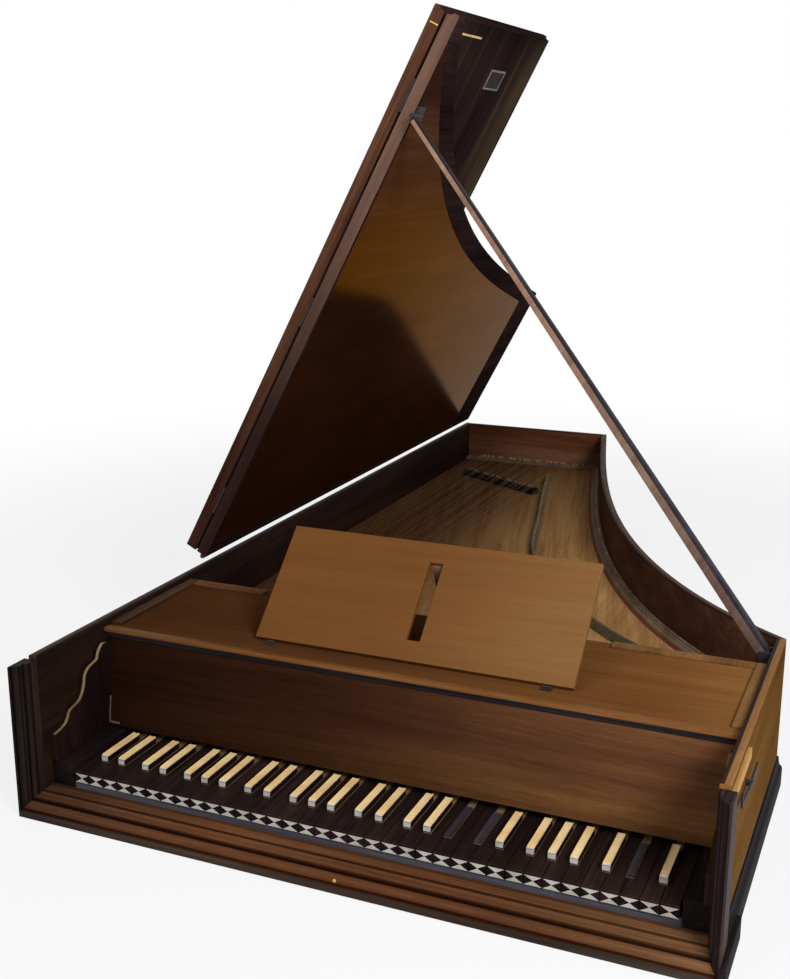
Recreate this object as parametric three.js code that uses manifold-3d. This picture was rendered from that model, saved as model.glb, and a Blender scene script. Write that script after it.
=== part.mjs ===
// Harpsichord with one keyboard: case, keys, jacks, soundboard, strings, music desk, lid and prop stick.
// Millimetres, +Z up, +Y towards the tail. The origin is the middle of the case's plan, on its underside.
// Places along the case are measured back from its front, and the whole is moved by half the length.

import * as THREE from 'three';
import { mergeVertices } from 'three/addons/utils/BufferGeometryUtils.js';
import Module from 'manifold-3d';

const wasm = await Module();
wasm.setup();

// Fits
const GAP = 0.3;
const OVERRUN = 40;
const BEND_STEPS = 24;
const ROUND_STEPS = 12;

// Case
const CASE_LENGTH = 1725;
const CASE_TOP = 223.5;
const WALL = 13;
const TAIL_WIDTH = 360;
const BOTTOM_THICKNESS = 12;
const BEND_SHARES = [[0.5954, 0.2002], [0.7933, 0.6152]];

// Front frame: posts and sill share one moulding
const POST_OUTSET = 7;
const POST_DEPTH = 35;
const POST_DROP = 5.9;
const FRAME_DEPTH = 33;
const SILL_DEPTH = 52;
const SILL_TOP = 30;
const SILL_FOOT = 4;
const FRAME_SHARES = [
  [0, 0], [0.19, 0], [0.19, 0.09], [0.27, 0.11], [0.29, 0.16], [0.38, 0.17], [0.46, 0.19],
  [0.56, 0.24], [0.62, 0.32], [0.62, 0.41], [0.56, 0.47], [0.56, 0.52], [0.78, 0.55], [0.82, 0.6],
  [0.86, 0.74], [0.94, 0.8], [1, 1],
];

// Base moulding and the block at its front right corner
const BASE_OUTSET = 8;
const BASE_HEIGHT = 45;
const BASE_PROFILE_SHARES = [[1, 0.58], [0.86, 0.66], [0.52, 0.74], [0.36, 0.86], [0.3, 1]];
const CORNER_OUTSET = 13;
const CORNER_FRONT = -7;
const CORNER_LENGTH = 110;
const CORNER_HEIGHT = 30;

// Keywell
const KEY_BLOCK_WIDTH = 33;
const KEY_BLOCK_TOP = 66;
const KEY_BLOCK_LENGTH = 147;
const NAMEBOARD_FOOT = 171;
const NAMEBOARD_BOTTOM = 69;
const NAMEBOARD_LEAN = 20;
const NAMEBOARD_THICKNESS = 10;
const SCROLL_THICKNESS = 10;
const SCROLL_FRONT = 49.5;
const SCROLL_DROP = 28.5;
const SCROLL_SHARES = [
  [0, 0.3], [0.1, 0.315], [0.2, 0.35], [0.24, 0.4], [0.28, 0.46], [0.36, 0.485], [0.43, 0.505],
  [0.49, 0.56], [0.53, 0.66], [0.545, 0.75], [0.6, 0.815], [0.7, 0.845], [0.75, 0.865], [0.77, 0.93],
  [0.83, 1], [0.9, 0.995], [0.955, 0.967],
];

// Keyboard
const NATURALS = 36;
const NATURAL_PITCH = 23;
const FIRST_STEP = 4;
const STEPS_PER_OCTAVE = 7;
const KEY_SIDE = 3;
const SHARP_SHIFT = 4.5;
const SHARP_SHIFT_SHARES = { 0: -5 / 9, 1: 2 / 3, 3: -8 / 9, 4: 0, 5: 1 };
const BARE_SHARPS = [16, 17, 23];
const LONE_FIRST = 17;
const LONE_LAST = 19;
const KEY_GAP = 0.8;
const KEY_FRONT = 53;
const KEY_HEAD = 37;
const KEY_BEHIND_JACKS = 10;
const KEY_TOP = 55;
const KEY_BOTTOM = 42;
const KEY_UNDERCUT = 3;
const UNDERCUT_LENGTH = 47;
const FRONT_PLATE = 3;
const FRONT_PLATE_DROP = 16.5;
const GROOVE_DEPTH = 8;
const SHARP_WIDTH = 10;
const SHARP_LENGTH = 78;
const SHARP_TOP = 66;
const SHARP_BARE_TOP = 57.5;
const SHARP_BEVEL = 1;
const SHARP_NOSE = 3;
const BALANCE = 223;

// Keyframe
const FRAME_BOARD_TOP = 30;
const FRONT_RAIL_TOP = 38;
const FRONT_RAIL_WIDTH = 18;
const BALANCE_RAIL_WIDTH = 5;
const BALANCE_RAIL_FOOT = 14;
const BACK_RAIL_WIDTH = 20;
const KEYFRAME_SIDE = 2.5;

// Jacks and register
const JACK_MIDDLE = 383;
const JACK_DEPTH = 12;
const JACK_WIDTH = 4;
const JACK_TOP = 160;
const JACK_STRIP_HEIGHT = 5;
const JACK_STRIP_DEPTH = 6;
const JACK_CLEARANCE = 0.4;
const REGISTER_BOTTOM = 122;
const REGISTER_TOP = 134;
const JACK_RAIL_BOTTOM = 168;
const JACK_RAIL_TOP = 185;

// Wrestplank, nut and tuning pins
const PLANK_FRONT = 213;
const PLANK_AHEAD_OF_JACKS = 12;
const PLANK_BOTTOM = 100;
const PLANK_TOP = 136;
const NUT_MIDDLE = 323;
const NUT_FOOT = 10;
const NUT_CREST = 5;
const NUT_SIDE = 12;
const PIN_WIDTH = 3.5;
const PIN_TOP = 158;
const PIN_OFFSET = 2.5;
const PIN_FRONT = 246;
const PIN_ROW = 18;
const PIN_ROWS = 3;

// Soundboard, bridges and strings
const BELLY_BEHIND_JACKS = 15;
const BEND_BEHIND_BELLY = 103;
const BELLY_THICKNESS = 18;
const BOARD_BOTTOM = 134;
const BOARD_THICKNESS = 3;
const LINER_WIDTH = 15;
const LINER_HEIGHT = 24;
const HITCH_WIDTH = 18;
const HITCH_HEIGHT = 7;
const HITCH_BEHIND_BELLY = 27;
const HITCH_PROFILE_SHARES = [
  [0, 0], [0, 1], [0.5, 1], [0.56, 0.72], [0.68, 0.72], [0.74, 0.86], [0.92, 0.86], [1, 0.5], [1, 0],
];
const STRING_BOTTOM = 152;
const STRING_SIZE = 0.6;
const STRING_START = 228;
const LISTING_WIDTH = 6;
const STRING_END_INSET = 22;
const BRIDGE_FOOT = 14;
const BRIDGE_CREST = 5;
const BRIDGE_STEPS = 26;
const BRIDGE_SHARES = [
  [0.853, -0.025], [0.549, 0.053], [0.322, 0.132], [0.112, 0.235], [-0.108, 0.387], [-0.24, 0.576],
  [-0.363, 0.76], [-0.432, 0.876],
];
const BASS_BRIDGE_WIDTH = 22;
const BASS_BRIDGE_SHARES = [[-0.851, 0.851], [-0.404, 0.758]];

// Cover board over the action
const COVER_FRONT = 190;
const COVER_BEHIND_BELLY = 17;
const COVER_THICKNESS = 8;
const COVER_DROP = 10.5;
const BORDER_WIDTH = 18;
const BORDER_HEIGHT = 3.5;
const BORDER_LEFT_END = -307;
const BORDER_RIGHT_END = 241;
const BORDER_FRONT = 203;
const LIP_OUTSET = 5.5;
const LIP_HEIGHT = 15;

// Music desk, its strut and hinges
const DESK_LEFT = -224;
const DESK_RIGHT = 236;
const DESK_PIVOT = 233;
const DESK_HEIGHT = 181;
const DESK_THICKNESS = 8;
const DESK_ANGLE = 44.5;
const SLOT_LEFT = -4;
const SLOT_RIGHT = 16;
const SLOT_START = 30;
const SLOT_END = 150;
const STRUT_LEAN = 22.2;
const STRUT_WIDTH = 11;
const STRUT_THICKNESS = 5;
const STRUT_EYE = 3.2;
const STRUT_BITE = 1.5;
const DESK_HINGE_WIDTH = 14;
const DESK_HINGE_LEFT = -200;
const DESK_HINGE_RIGHT = 201;
const DESK_LEAF_LENGTH = 11.5;
const DESK_LEAF_THICKNESS = 1.3;
const DESK_LEAF_SPACE = 2.4;

// Lid and flap, drawn closed and turned open by their groups
const LID_THICKNESS = 18;
const LID_OVERHANG = 4;
const LID_AHEAD_OF_BEND = 23;
const LID_PIVOT_OUT = 5;
const LID_PIVOT_RISE = 8;
const LID_ANGLE = 62.1;
const LID_EDGE_SHARES = [[0.4, 0], [0, 0.1], [0, 0.5], [0.9, 0.62], [1.1, 1]];
const FLAP_FRONT = -17;
const FLAP_SEAM = 1;
const FLAP_PIVOT_RISE = 2;
const LID_HINGE_BEHIND_SEAM = 27;
const LID_HINGE_BEFORE_TAIL = 340;
const LID_HINGE_LENGTH = 46;
const LID_BARREL = 4;
const LID_LEAF = 2;
const LID_STRAP_LENGTH = 68;
const LID_STRAP_THICKNESS = 1.5;
const LID_LEAF_RISE = 2.5;
const FLAP_HINGE_LEFT_INSET = 103;
const FLAP_HINGE_MIDDLE = -8;
const FLAP_HINGE_RIGHT_INSET = 121;
const FLAP_HINGE_LENGTH = 50;
const FLAP_BARREL = 1.6;
const FLAP_LEAF_LENGTH = 22;
const FLAP_LEAF_THICKNESS = 1.2;
const LOCK_INSET = 90;
const LOCK_WIDTH = 33;
const LOCK_FRONT = 123;
const LOCK_LENGTH = 67;
const LOCK_THICKNESS = 1.4;
const LOCK_RIM = 7;
const LOCK_RECESS = 0.7;

// Prop stick, its bracket and its peg under the lid
const STICK_AHEAD_OF_SEAM = 16;
const STICK_SIDE = 9;
const STICK_DROP = 13.5;
const STICK_ANGLE = 53.5;
const STICK_FOOT = 17;
const STICK_TIP = 8;
const STICK_FOOT_DEPTH = 18;
const STICK_TIP_DEPTH = 9;
const STICK_PIN = 3;
const EAR_THICKNESS = 3.4;
const EAR_DROP = 8;
const PEG_RADIUS = 3.5;
const PEG_DROP = 6;
const PEG_AHEAD = 5;
const PEG_PLATE_LENGTH = 26;
const PEG_PLATE_WIDTH = 24;
const PEG_PLATE_THICKNESS = 3;
const PEG_INSET = 2;

// Fittings outside the cheek
const STRIP_THICKNESS = 4.7;
const STRIP_LENGTH = 115;
const STRIP_HEIGHT = 12;
const STRIP_DROP = 6.5;
const HOOK_PIVOT = 155;
const HOOK_DROP = 53.5;
const HOOK_LENGTH = 80;
const HOOK_RISE = 11;
const HOOK_WIDTH = 6;
const HOOK_THICKNESS = 2.4;
const HOOK_STANDOFF = 5.2;
const HOOK_BOSS = 4;
const HOOK_TURN = 14;
const HOOK_PLATE_FRONT = 200;
const HOOK_PLATE_LENGTH = 50;
const HOOK_PLATE_HEIGHT = 12;
const HOOK_PLATE_DROP = 83.5;
const HOOK_PLATE_THICKNESS = 2;

// Sizes that follow from those above
const CASE_WIDTH = NATURALS * NATURAL_PITCH + 2 * (KEY_SIDE + KEY_BLOCK_WIDTH + WALL);
const HALF = CASE_WIDTH / 2;
const INSIDE = HALF - WALL;
const FITTED = INSIDE - GAP;
const WALL_BOTTOM = BOTTOM_THICKNESS + GAP;
const TAIL_X = TAIL_WIDTH - HALF;
const BOARD_TOP = BOARD_BOTTOM + BOARD_THICKNESS;
const POST_TOP = CASE_TOP - POST_DROP;
const SCROLL_TOP = CASE_TOP - SCROLL_DROP;
const COVER_TOP = CASE_TOP - COVER_DROP;
const KEY_END = JACK_MIDDLE + KEY_BEHIND_JACKS;
const PLANK_BACK = JACK_MIDDLE - PLANK_AHEAD_OF_JACKS;
const BELLY_FRONT = JACK_MIDDLE + BELLY_BEHIND_JACKS;
const COVER_BACK = BELLY_FRONT + COVER_BEHIND_BELLY;
const HITCH_START = BELLY_FRONT + HITCH_BEHIND_BELLY;
const CHEEK_LENGTH = BELLY_FRONT + BEND_BEHIND_BELLY;
const KEYS_LEFT = -NATURALS * NATURAL_PITCH / 2;
const STRING_CREST = STRING_BOTTOM - GAP;
const DESK_FLAT = COVER_TOP + GAP;
const LID_FRONT = CHEEK_LENGTH - LID_AHEAD_OF_BEND;
const LID_BOTTOM = CASE_TOP + GAP;
const LID_TOP = LID_BOTTOM + LID_THICKNESS;
const LID_PIVOT_X = -HALF - LID_PIVOT_OUT;
const LID_PIVOT_Z = CASE_TOP + LID_PIVOT_RISE;
const FLAP_PIVOT_D = LID_FRONT - FLAP_SEAM / 2;
const FLAP_PIVOT_Z = LID_TOP + FLAP_PIVOT_RISE;
const STICK_PLANE = LID_FRONT - STICK_AHEAD_OF_SEAM;
const STICK_X = INSIDE - STICK_SIDE;
const STICK_Z = CASE_TOP - STICK_DROP;
const HOOK_Z = CASE_TOP - HOOK_DROP;
const degrees = THREE.MathUtils.degToRad;

// The whole, moved back by half the case's length
const harpsichord = new THREE.Group();
const body = new THREE.Group();
body.position.y = -CASE_LENGTH / 2;
harpsichord.add(body);

// Closed solids from three.js geometry, and back
function solidOf(geometry) {
  const bare = geometry.clone();
  bare.deleteAttribute('normal');
  bare.deleteAttribute('uv');
  const merged = mergeVertices(bare);
  const mesh = new wasm.Mesh({
    numProp: 3,
    vertProperties: Float32Array.from(merged.attributes.position.array),
    triVerts: Uint32Array.from(merged.index.array),
  });
  return new wasm.Manifold(mesh);
}

function geometryOf(solid) {
  const mesh = solid.getMesh();
  const geometry = new THREE.BufferGeometry();
  geometry.setAttribute('position', new THREE.BufferAttribute(Float32Array.from(mesh.vertProperties), 3));
  geometry.setIndex(new THREE.BufferAttribute(Uint32Array.from(mesh.triVerts), 1));
  geometry.computeVertexNormals();
  return geometry;
}

function join(...geometries) {
  const solids = geometries.map(solidOf);
  return geometryOf(solids.reduce((sum, solid) => sum.add(solid)));
}

function cut(geometry, ...tools) {
  return geometryOf(tools.reduce((rest, tool) => rest.subtract(solidOf(tool)), solidOf(geometry)));
}

function overlap(first, second) {
  return geometryOf(solidOf(first).intersect(solidOf(second)));
}

// Boxes and prisms between given limits
function block(x0, x1, d0, d1, z0, z1) {
  const box = new THREE.BoxGeometry(x1 - x0, d1 - d0, z1 - z0);
  return box.translate((x0 + x1) / 2, (d0 + d1) / 2, (z0 + z1) / 2);
}

function outline(points) {
  return new THREE.Shape(points.map(([a, b]) => new THREE.Vector2(a, b)));
}

function extruded(points, length) {
  return new THREE.ExtrudeGeometry(outline(points), { depth: length, bevelEnabled: false });
}

// Outline points are (back, up)
function prismAcross(points, x0, x1) {
  const turn = new THREE.Matrix4().makeBasis(
    new THREE.Vector3(0, 1, 0), new THREE.Vector3(0, 0, 1), new THREE.Vector3(1, 0, 0));
  return extruded(points, x1 - x0).applyMatrix4(turn).translate(x0, 0, 0);
}

// Outline points are (right, up)
function prismBack(points, d0, d1) {
  const turn = new THREE.Matrix4().makeBasis(
    new THREE.Vector3(1, 0, 0), new THREE.Vector3(0, 0, 1), new THREE.Vector3(0, -1, 0));
  return extruded(points, d1 - d0).applyMatrix4(turn).translate(0, d1, 0);
}

// Outline points are (right, back)
function prismUp(points, z0, z1) {
  return extruded(points, z1 - z0).translate(0, 0, z0);
}

function rodAcross(radius, x0, x1, d, z) {
  const rod = new THREE.CylinderGeometry(radius, radius, x1 - x0, ROUND_STEPS);
  return rod.rotateZ(Math.PI / 2).translate((x0 + x1) / 2, d, z);
}

function rodBack(radius, d0, d1, x, z) {
  const rod = new THREE.CylinderGeometry(radius, radius, d1 - d0, ROUND_STEPS);
  return rod.translate(x, (d0 + d1) / 2, z);
}

// Solid through rows of points: each row is a closed ring with the same number of points
function loft(rings) {
  const count = rings[0].length;
  const points = rings.flat();
  const faces = [];
  for (let r = 0; r + 1 < rings.length; r += 1) {
    for (let i = 0; i < count; i += 1) {
      const next = (i + 1) % count;
      const a = r * count + i;
      const b = r * count + next;
      faces.push(a, b, b + count, a, b + count, a + count);
    }
  }
  const last = (rings.length - 1) * count;
  const cap = capTriangles(rings[0]);
  const end = capTriangles(rings[rings.length - 1]);
  cap.forEach(([a, b, c]) => faces.push(c, b, a));
  end.forEach(([a, b, c]) => faces.push(last + a, last + b, last + c));
  let volume = 0;
  for (let f = 0; f < faces.length; f += 3) {
    const [a, b, c] = [points[faces[f]], points[faces[f + 1]], points[faces[f + 2]]];
    volume += a.dot(b.clone().cross(c));
  }
  if (volume < 0) {
    faces.reverse();
  }
  const geometry = new THREE.BufferGeometry();
  const flat = points.flatMap((point) => [point.x, point.y, point.z]);
  geometry.setAttribute('position', new THREE.BufferAttribute(new Float32Array(flat), 3));
  geometry.setIndex(faces);
  geometry.computeVertexNormals();
  return geometry;
}

// Triangles of a flat ring, wound the way the ring's first side faces
function capTriangles(ring) {
  const normal = new THREE.Vector3();
  ring.forEach((point, i) => {
    normal.add(point.clone().cross(ring[(i + 1) % ring.length]));
  });
  normal.normalize();
  const side = ring[1].clone().sub(ring[0]).normalize();
  const up = normal.clone().cross(side);
  const flat = ring.map((point) => new THREE.Vector2(point.dot(side), point.dot(up)));
  return THREE.ShapeUtils.triangulateShape(flat, []);
}

// Plan of the bent side at a given inset: from the cheek's line to the tail's line
const bendPoints = [[0, 0], ...BEND_SHARES, [1, 1]].map(([across, along]) => new THREE.Vector2(
  HALF + across * (TAIL_X - HALF),
  CHEEK_LENGTH + along * (CASE_LENGTH - CHEEK_LENGTH),
));
const bend = new THREE.CubicBezierCurve(...bendPoints);

function bentPoint(t, inset) {
  const held = Math.min(Math.max(t, 0), 1);
  const tangent = bend.getTangent(held);
  const point = bend.getPoint(held);
  point.addScaledVector(new THREE.Vector2(-tangent.y, tangent.x), inset);
  return point.addScaledVector(tangent, (t - held) * CASE_LENGTH);
}

function solveShare(goal, value) {
  let low = -1;
  let high = 2;
  for (let step = 0; step < 60; step += 1) {
    const middle = (low + high) / 2;
    if (value(middle) < goal) {
      low = middle;
    } else {
      high = middle;
    }
  }
  return (low + high) / 2;
}

function bentLine(inset) {
  const start = solveShare(inset - HALF, (t) => -bentPoint(t, inset).x);
  const end = solveShare(CASE_LENGTH - inset, (t) => bentPoint(t, inset).y);
  const line = [];
  for (let step = 0; step <= BEND_STEPS; step += 1) {
    const point = bentPoint(start + (end - start) * step / BEND_STEPS, inset);
    line.push([point.x, point.y]);
  }
  return line;
}

// Plan of the whole case at a given inset, from a given distance behind the front
function caseOutline(inset, front, leftInset = inset) {
  return [
    [leftInset - HALF, front], [HALF - inset, front], ...bentLine(inset),
    [leftInset - HALF, CASE_LENGTH - inset],
  ];
}

// A strip that follows the walls: the profile is (inset, up)
function wallStrip(profile, plan) {
  const lines = profile.map(([inset, up]) => plan(inset).map(([x, d]) => new THREE.Vector3(x, d, up)));
  return loft(lines[0].map((_, i) => lines.map((line) => line[i])));
}

function threeSides(front) {
  return (inset) => [
    [inset - HALF, front], [inset - HALF, CASE_LENGTH - inset], ...bentLine(inset).reverse(),
    [HALF - inset, front],
  ];
}

// Places for pieces: a mesh in a group, with its material
function add(parent, name, geometry, colour, roughness, metalness = 0) {
  const material = new THREE.MeshStandardMaterial({ color: colour, roughness, metalness });
  const mesh = new THREE.Mesh(geometry, material);
  mesh.name = name;
  parent.add(mesh);
}

// A group that turns about an axis through a point, for pieces drawn where they would be without the turn
function turned(parent, x, d, z, axis, angle) {
  const pivot = new THREE.Group();
  pivot.position.set(x, d, z);
  pivot.rotation[axis] = angle;
  const inner = new THREE.Group();
  inner.position.set(-x, -d, -z);
  pivot.add(inner);
  parent.add(pivot);
  return inner;
}

const WALNUT = 0x5a3d28;
const DARK_WALNUT = 0x3a2a22;
const PALE_WALNUT = 0x8a6238;
const FRAME_WOOD = 0x6b5140;
const PINE = 0xb08a5a;
const IRON = 0x55565a;
const BRASS = 0xb5964f;
const EBONY = 0x2c2522;

// Case walls on the bottom boards
const outer = bentLine(0);
const inner = bentLine(WALL);
const cheekMitre = inner[0][1];
const tailMitre = inner[BEND_STEPS][0];
add(body, 'case_bottom', prismUp(caseOutline(0, SILL_DEPTH + GAP), 0, BOTTOM_THICKNESS), PINE, 0.8);
add(body, 'spine', block(-HALF, -INSIDE, POST_DEPTH + GAP, CASE_LENGTH, WALL_BOTTOM, CASE_TOP), WALNUT, 0.5);
add(body, 'cheek', prismUp([
  [INSIDE, POST_DEPTH + GAP], [HALF, POST_DEPTH + GAP], [HALF, CHEEK_LENGTH - GAP],
  [INSIDE, cheekMitre - GAP],
], WALL_BOTTOM, CASE_TOP), WALNUT, 0.5);
add(body, 'bentside', prismUp([...outer, ...inner.slice().reverse()], WALL_BOTTOM, CASE_TOP), WALNUT, 0.5);
add(body, 'tail', prismUp([
  [GAP - INSIDE, CASE_LENGTH - WALL], [tailMitre - GAP, CASE_LENGTH - WALL], [TAIL_X - GAP, CASE_LENGTH],
  [GAP - INSIDE, CASE_LENGTH],
], WALL_BOTTOM, CASE_TOP), WALNUT, 0.5);

// Base moulding round three sides, with its corner block
const POST_EDGE = HALF + POST_OUTSET;
const baseProfile = [
  [-GAP, 0], [-BASE_OUTSET, 0],
  ...BASE_PROFILE_SHARES.map(([out, up]) => [-BASE_OUTSET * out, BASE_HEIGHT * up]),
  [-GAP, BASE_HEIGHT],
];
const cornerPlan = [
  [POST_EDGE + GAP, CORNER_FRONT], [HALF + CORNER_OUTSET, CORNER_FRONT],
  [HALF + CORNER_OUTSET, CORNER_FRONT + CORNER_LENGTH], [HALF + GAP, CORNER_FRONT + CORNER_LENGTH],
  [HALF + GAP, POST_DEPTH + GAP], [POST_EDGE + GAP, POST_DEPTH + GAP],
];
add(body, 'base_moulding', join(
  wallStrip(baseProfile, threeSides(POST_DEPTH + GAP)),
  prismUp(cornerPlan, 0, CORNER_HEIGHT),
), DARK_WALNUT, 0.5);

// Front frame, mitred where the sill meets the posts
const sillProfile = FRAME_SHARES.map(([across, deep]) => [
  deep * FRAME_DEPTH, SILL_FOOT + across * (SILL_TOP - SILL_FOOT)]);
const sillSection = [[0, 0], ...sillProfile, [SILL_DEPTH, SILL_TOP], [SILL_DEPTH, 0]];
const postRun = POST_EDGE - INSIDE;
const mitreSlope = (SILL_TOP - SILL_FOOT) / postRun;

function mitreTool(side, lift, above) {
  const low = SILL_FOOT + lift - OVERRUN * mitreSlope;
  const high = SILL_FOOT + lift + (postRun + OVERRUN) * mitreSlope;
  const far = above ? CASE_TOP + OVERRUN + high : low - OVERRUN;
  return prismBack([
    [side * (POST_EDGE + OVERRUN), low], [side * (POST_EDGE + OVERRUN), far],
    [side * (INSIDE - OVERRUN), far], [side * (INSIDE - OVERRUN), high],
  ], -OVERRUN, SILL_DEPTH + OVERRUN);
}

function sideBlock(side, near, far, d0, d1, z0, z1) {
  return block(Math.min(side * near, side * far), Math.max(side * near, side * far), d0, d1, z0, z1);
}

const sillTools = [-1, 1].flatMap((side) => [
  overlap(mitreTool(side, -GAP, true), sideBlock(side, FITTED, POST_EDGE + OVERRUN, -OVERRUN,
    SILL_DEPTH + OVERRUN, -OVERRUN, CASE_TOP)),
  sideBlock(side, FITTED, POST_EDGE + OVERRUN, POST_DEPTH, SILL_DEPTH + OVERRUN, -OVERRUN, CASE_TOP),
]);
add(body, 'sill', cut(prismAcross(sillSection, -POST_EDGE, POST_EDGE), ...sillTools), FRAME_WOOD, 0.45);

function frontPost(side) {
  const front = FRAME_SHARES.map(([across, deep]) => [
    side * (POST_EDGE - across * postRun), deep * FRAME_DEPTH]);
  const plan = [[side * POST_EDGE, POST_DEPTH], ...front, [side * INSIDE, POST_DEPTH]];
  return cut(prismUp(plan, 0, POST_TOP), mitreTool(side, 0, false));
}
add(body, 'front_post_left', frontPost(-1), DARK_WALNUT, 0.45);
add(body, 'front_post_right', frontPost(1), DARK_WALNUT, 0.45);

// Keywell: key blocks, nameboard and the scrolls on the side walls
const nameboardTop = COVER_TOP - COVER_THICKNESS - GAP;
const boardSlope = NAMEBOARD_LEAN / (nameboardTop - NAMEBOARD_BOTTOM);
const boardFace = (z) => NAMEBOARD_FOOT + (z - NAMEBOARD_BOTTOM) * boardSlope;
for (const side of [-1, 1]) {
  const word = side < 0 ? 'left' : 'right';
  const blockInside = INSIDE - KEY_BLOCK_WIDTH;
  add(body, `key_block_${word}`, sideBlock(side, blockInside, FITTED, KEY_FRONT,
    KEY_FRONT + KEY_BLOCK_LENGTH, WALL_BOTTOM, KEY_BLOCK_TOP), EBONY, 0.5);
  const low = KEY_BLOCK_TOP + GAP;
  const curl = SCROLL_SHARES.map(([along, up]) => {
    const z = low + up * (SCROLL_TOP - low);
    return [SCROLL_FRONT + along * (boardFace(z) - SCROLL_FRONT), z];
  });
  const scrollBack = curl[curl.length - 1][1];
  const scroll = [
    [SCROLL_FRONT, low], ...curl, [boardFace(scrollBack) - GAP, scrollBack], [boardFace(low) - GAP, low],
  ];
  const edges = [side * (FITTED - SCROLL_THICKNESS), side * FITTED];
  add(body, `scroll_${word}`, prismAcross(scroll, Math.min(...edges), Math.max(...edges)), WALNUT, 0.5);
}
add(body, 'nameboard', prismAcross([
  [NAMEBOARD_FOOT, NAMEBOARD_BOTTOM], [NAMEBOARD_FOOT + NAMEBOARD_THICKNESS, NAMEBOARD_BOTTOM],
  [boardFace(nameboardTop) + NAMEBOARD_THICKNESS, nameboardTop], [boardFace(nameboardTop), nameboardTop],
], -FITTED, FITTED), WALNUT, 0.4);

// Keyframe under the keys
const railTop = KEY_BOTTOM - GAP;
const railFace = KEY_FRONT + FRONT_PLATE + 2 * GAP;
const frameSide = KEYS_LEFT - KEYFRAME_SIDE;
add(body, 'keyframe', prismAcross([
  [railFace, WALL_BOTTOM], [railFace, FRONT_RAIL_TOP], [railFace + FRONT_RAIL_WIDTH, FRONT_RAIL_TOP],
  [railFace + FRONT_RAIL_WIDTH, FRAME_BOARD_TOP], [BALANCE - BALANCE_RAIL_FOOT / 2, FRAME_BOARD_TOP],
  [BALANCE - BALANCE_RAIL_WIDTH / 2, railTop], [BALANCE + BALANCE_RAIL_WIDTH / 2, railTop],
  [BALANCE + BALANCE_RAIL_FOOT / 2, FRAME_BOARD_TOP], [KEY_END - BACK_RAIL_WIDTH, FRAME_BOARD_TOP],
  [KEY_END - BACK_RAIL_WIDTH, railTop], [KEY_END, railTop], [KEY_END, WALL_BOTTOM],
], frameSide, -frameSide), PINE, 0.7);

// Keys: each natural's tail lies between its sharps
const sharps = new Map();
for (let i = 0; i + 1 < NATURALS; i += 1) {
  const share = SHARP_SHIFT_SHARES[(i + FIRST_STEP) % STEPS_PER_OCTAVE];
  if (share !== undefined) {
    const at = KEYS_LEFT + (i + 1) * NATURAL_PITCH + share * SHARP_SHIFT;
    sharps.set(i, { at, bare: BARE_SHARPS.includes(sharps.size) });
  }
}

function naturalSides(i) {
  const left = KEYS_LEFT + i * NATURAL_PITCH + KEY_GAP / 2;
  const right = left + NATURAL_PITCH - KEY_GAP;
  const before = sharps.get(i - 1);
  const after = sharps.get(i);
  return {
    left,
    right,
    tailLeft: before ? before.at + SHARP_WIDTH / 2 + KEY_GAP / 2 : left,
    tailRight: after ? after.at - SHARP_WIDTH / 2 - KEY_GAP / 2 : right,
  };
}

const frontBottom = KEY_BOTTOM + KEY_UNDERCUT;
const undercutEnd = KEY_FRONT + UNDERCUT_LENGTH;
const headEnd = KEY_FRONT + KEY_HEAD;
const plateBottom = KEY_TOP - FRONT_PLATE_DROP;

function undercut(left, right) {
  return block(left - OVERRUN, right + OVERRUN, KEY_FRONT - OVERRUN, undercutEnd,
    KEY_BOTTOM - OVERRUN, frontBottom);
}

function frontPlate(left, right) {
  return block(left, right, KEY_FRONT, KEY_FRONT + FRONT_PLATE, plateBottom, frontBottom + GAP);
}

function naturalKey(i) {
  const { left, right, tailLeft, tailRight } = naturalSides(i);
  const plan = [
    [left, KEY_FRONT], [right, KEY_FRONT], [right, headEnd], [tailRight, headEnd], [tailRight, KEY_END],
    [tailLeft, KEY_END], [tailLeft, headEnd], [left, headEnd],
  ];
  const tidy = plan.filter(([x, d], n) => {
    const [px, pd] = plan[(n + plan.length - 1) % plan.length];
    return Math.hypot(x - px, d - pd) > 0;
  });
  return join(cut(prismUp(tidy, KEY_BOTTOM, KEY_TOP), undercut(left, right)), frontPlate(left, right));
}

function sharpSection(bare) {
  const top = bare ? SHARP_BARE_TOP : SHARP_TOP;
  const bevel = bare ? 0 : SHARP_BEVEL;
  const nose = bare ? 0 : SHARP_NOSE;
  const blockEnd = headEnd + SHARP_LENGTH;
  return [
    [headEnd + KEY_GAP, frontBottom], [undercutEnd, frontBottom], [undercutEnd, KEY_BOTTOM],
    [KEY_END, KEY_BOTTOM], [KEY_END, KEY_TOP], [blockEnd + bevel, KEY_TOP], [blockEnd, top],
    [headEnd + KEY_GAP + nose, top], [headEnd + KEY_GAP + bevel, top - bevel],
    [headEnd + KEY_GAP, SHARP_BARE_TOP - bevel],
  ].filter(([d, z], n, all) => n === 0 || Math.hypot(d - all[n - 1][0], z - all[n - 1][1]) > 0);
}

function sharpKey({ at, bare }) {
  return prismAcross(sharpSection(bare), at - SHARP_WIDTH / 2, at + SHARP_WIDTH / 2);
}

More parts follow.
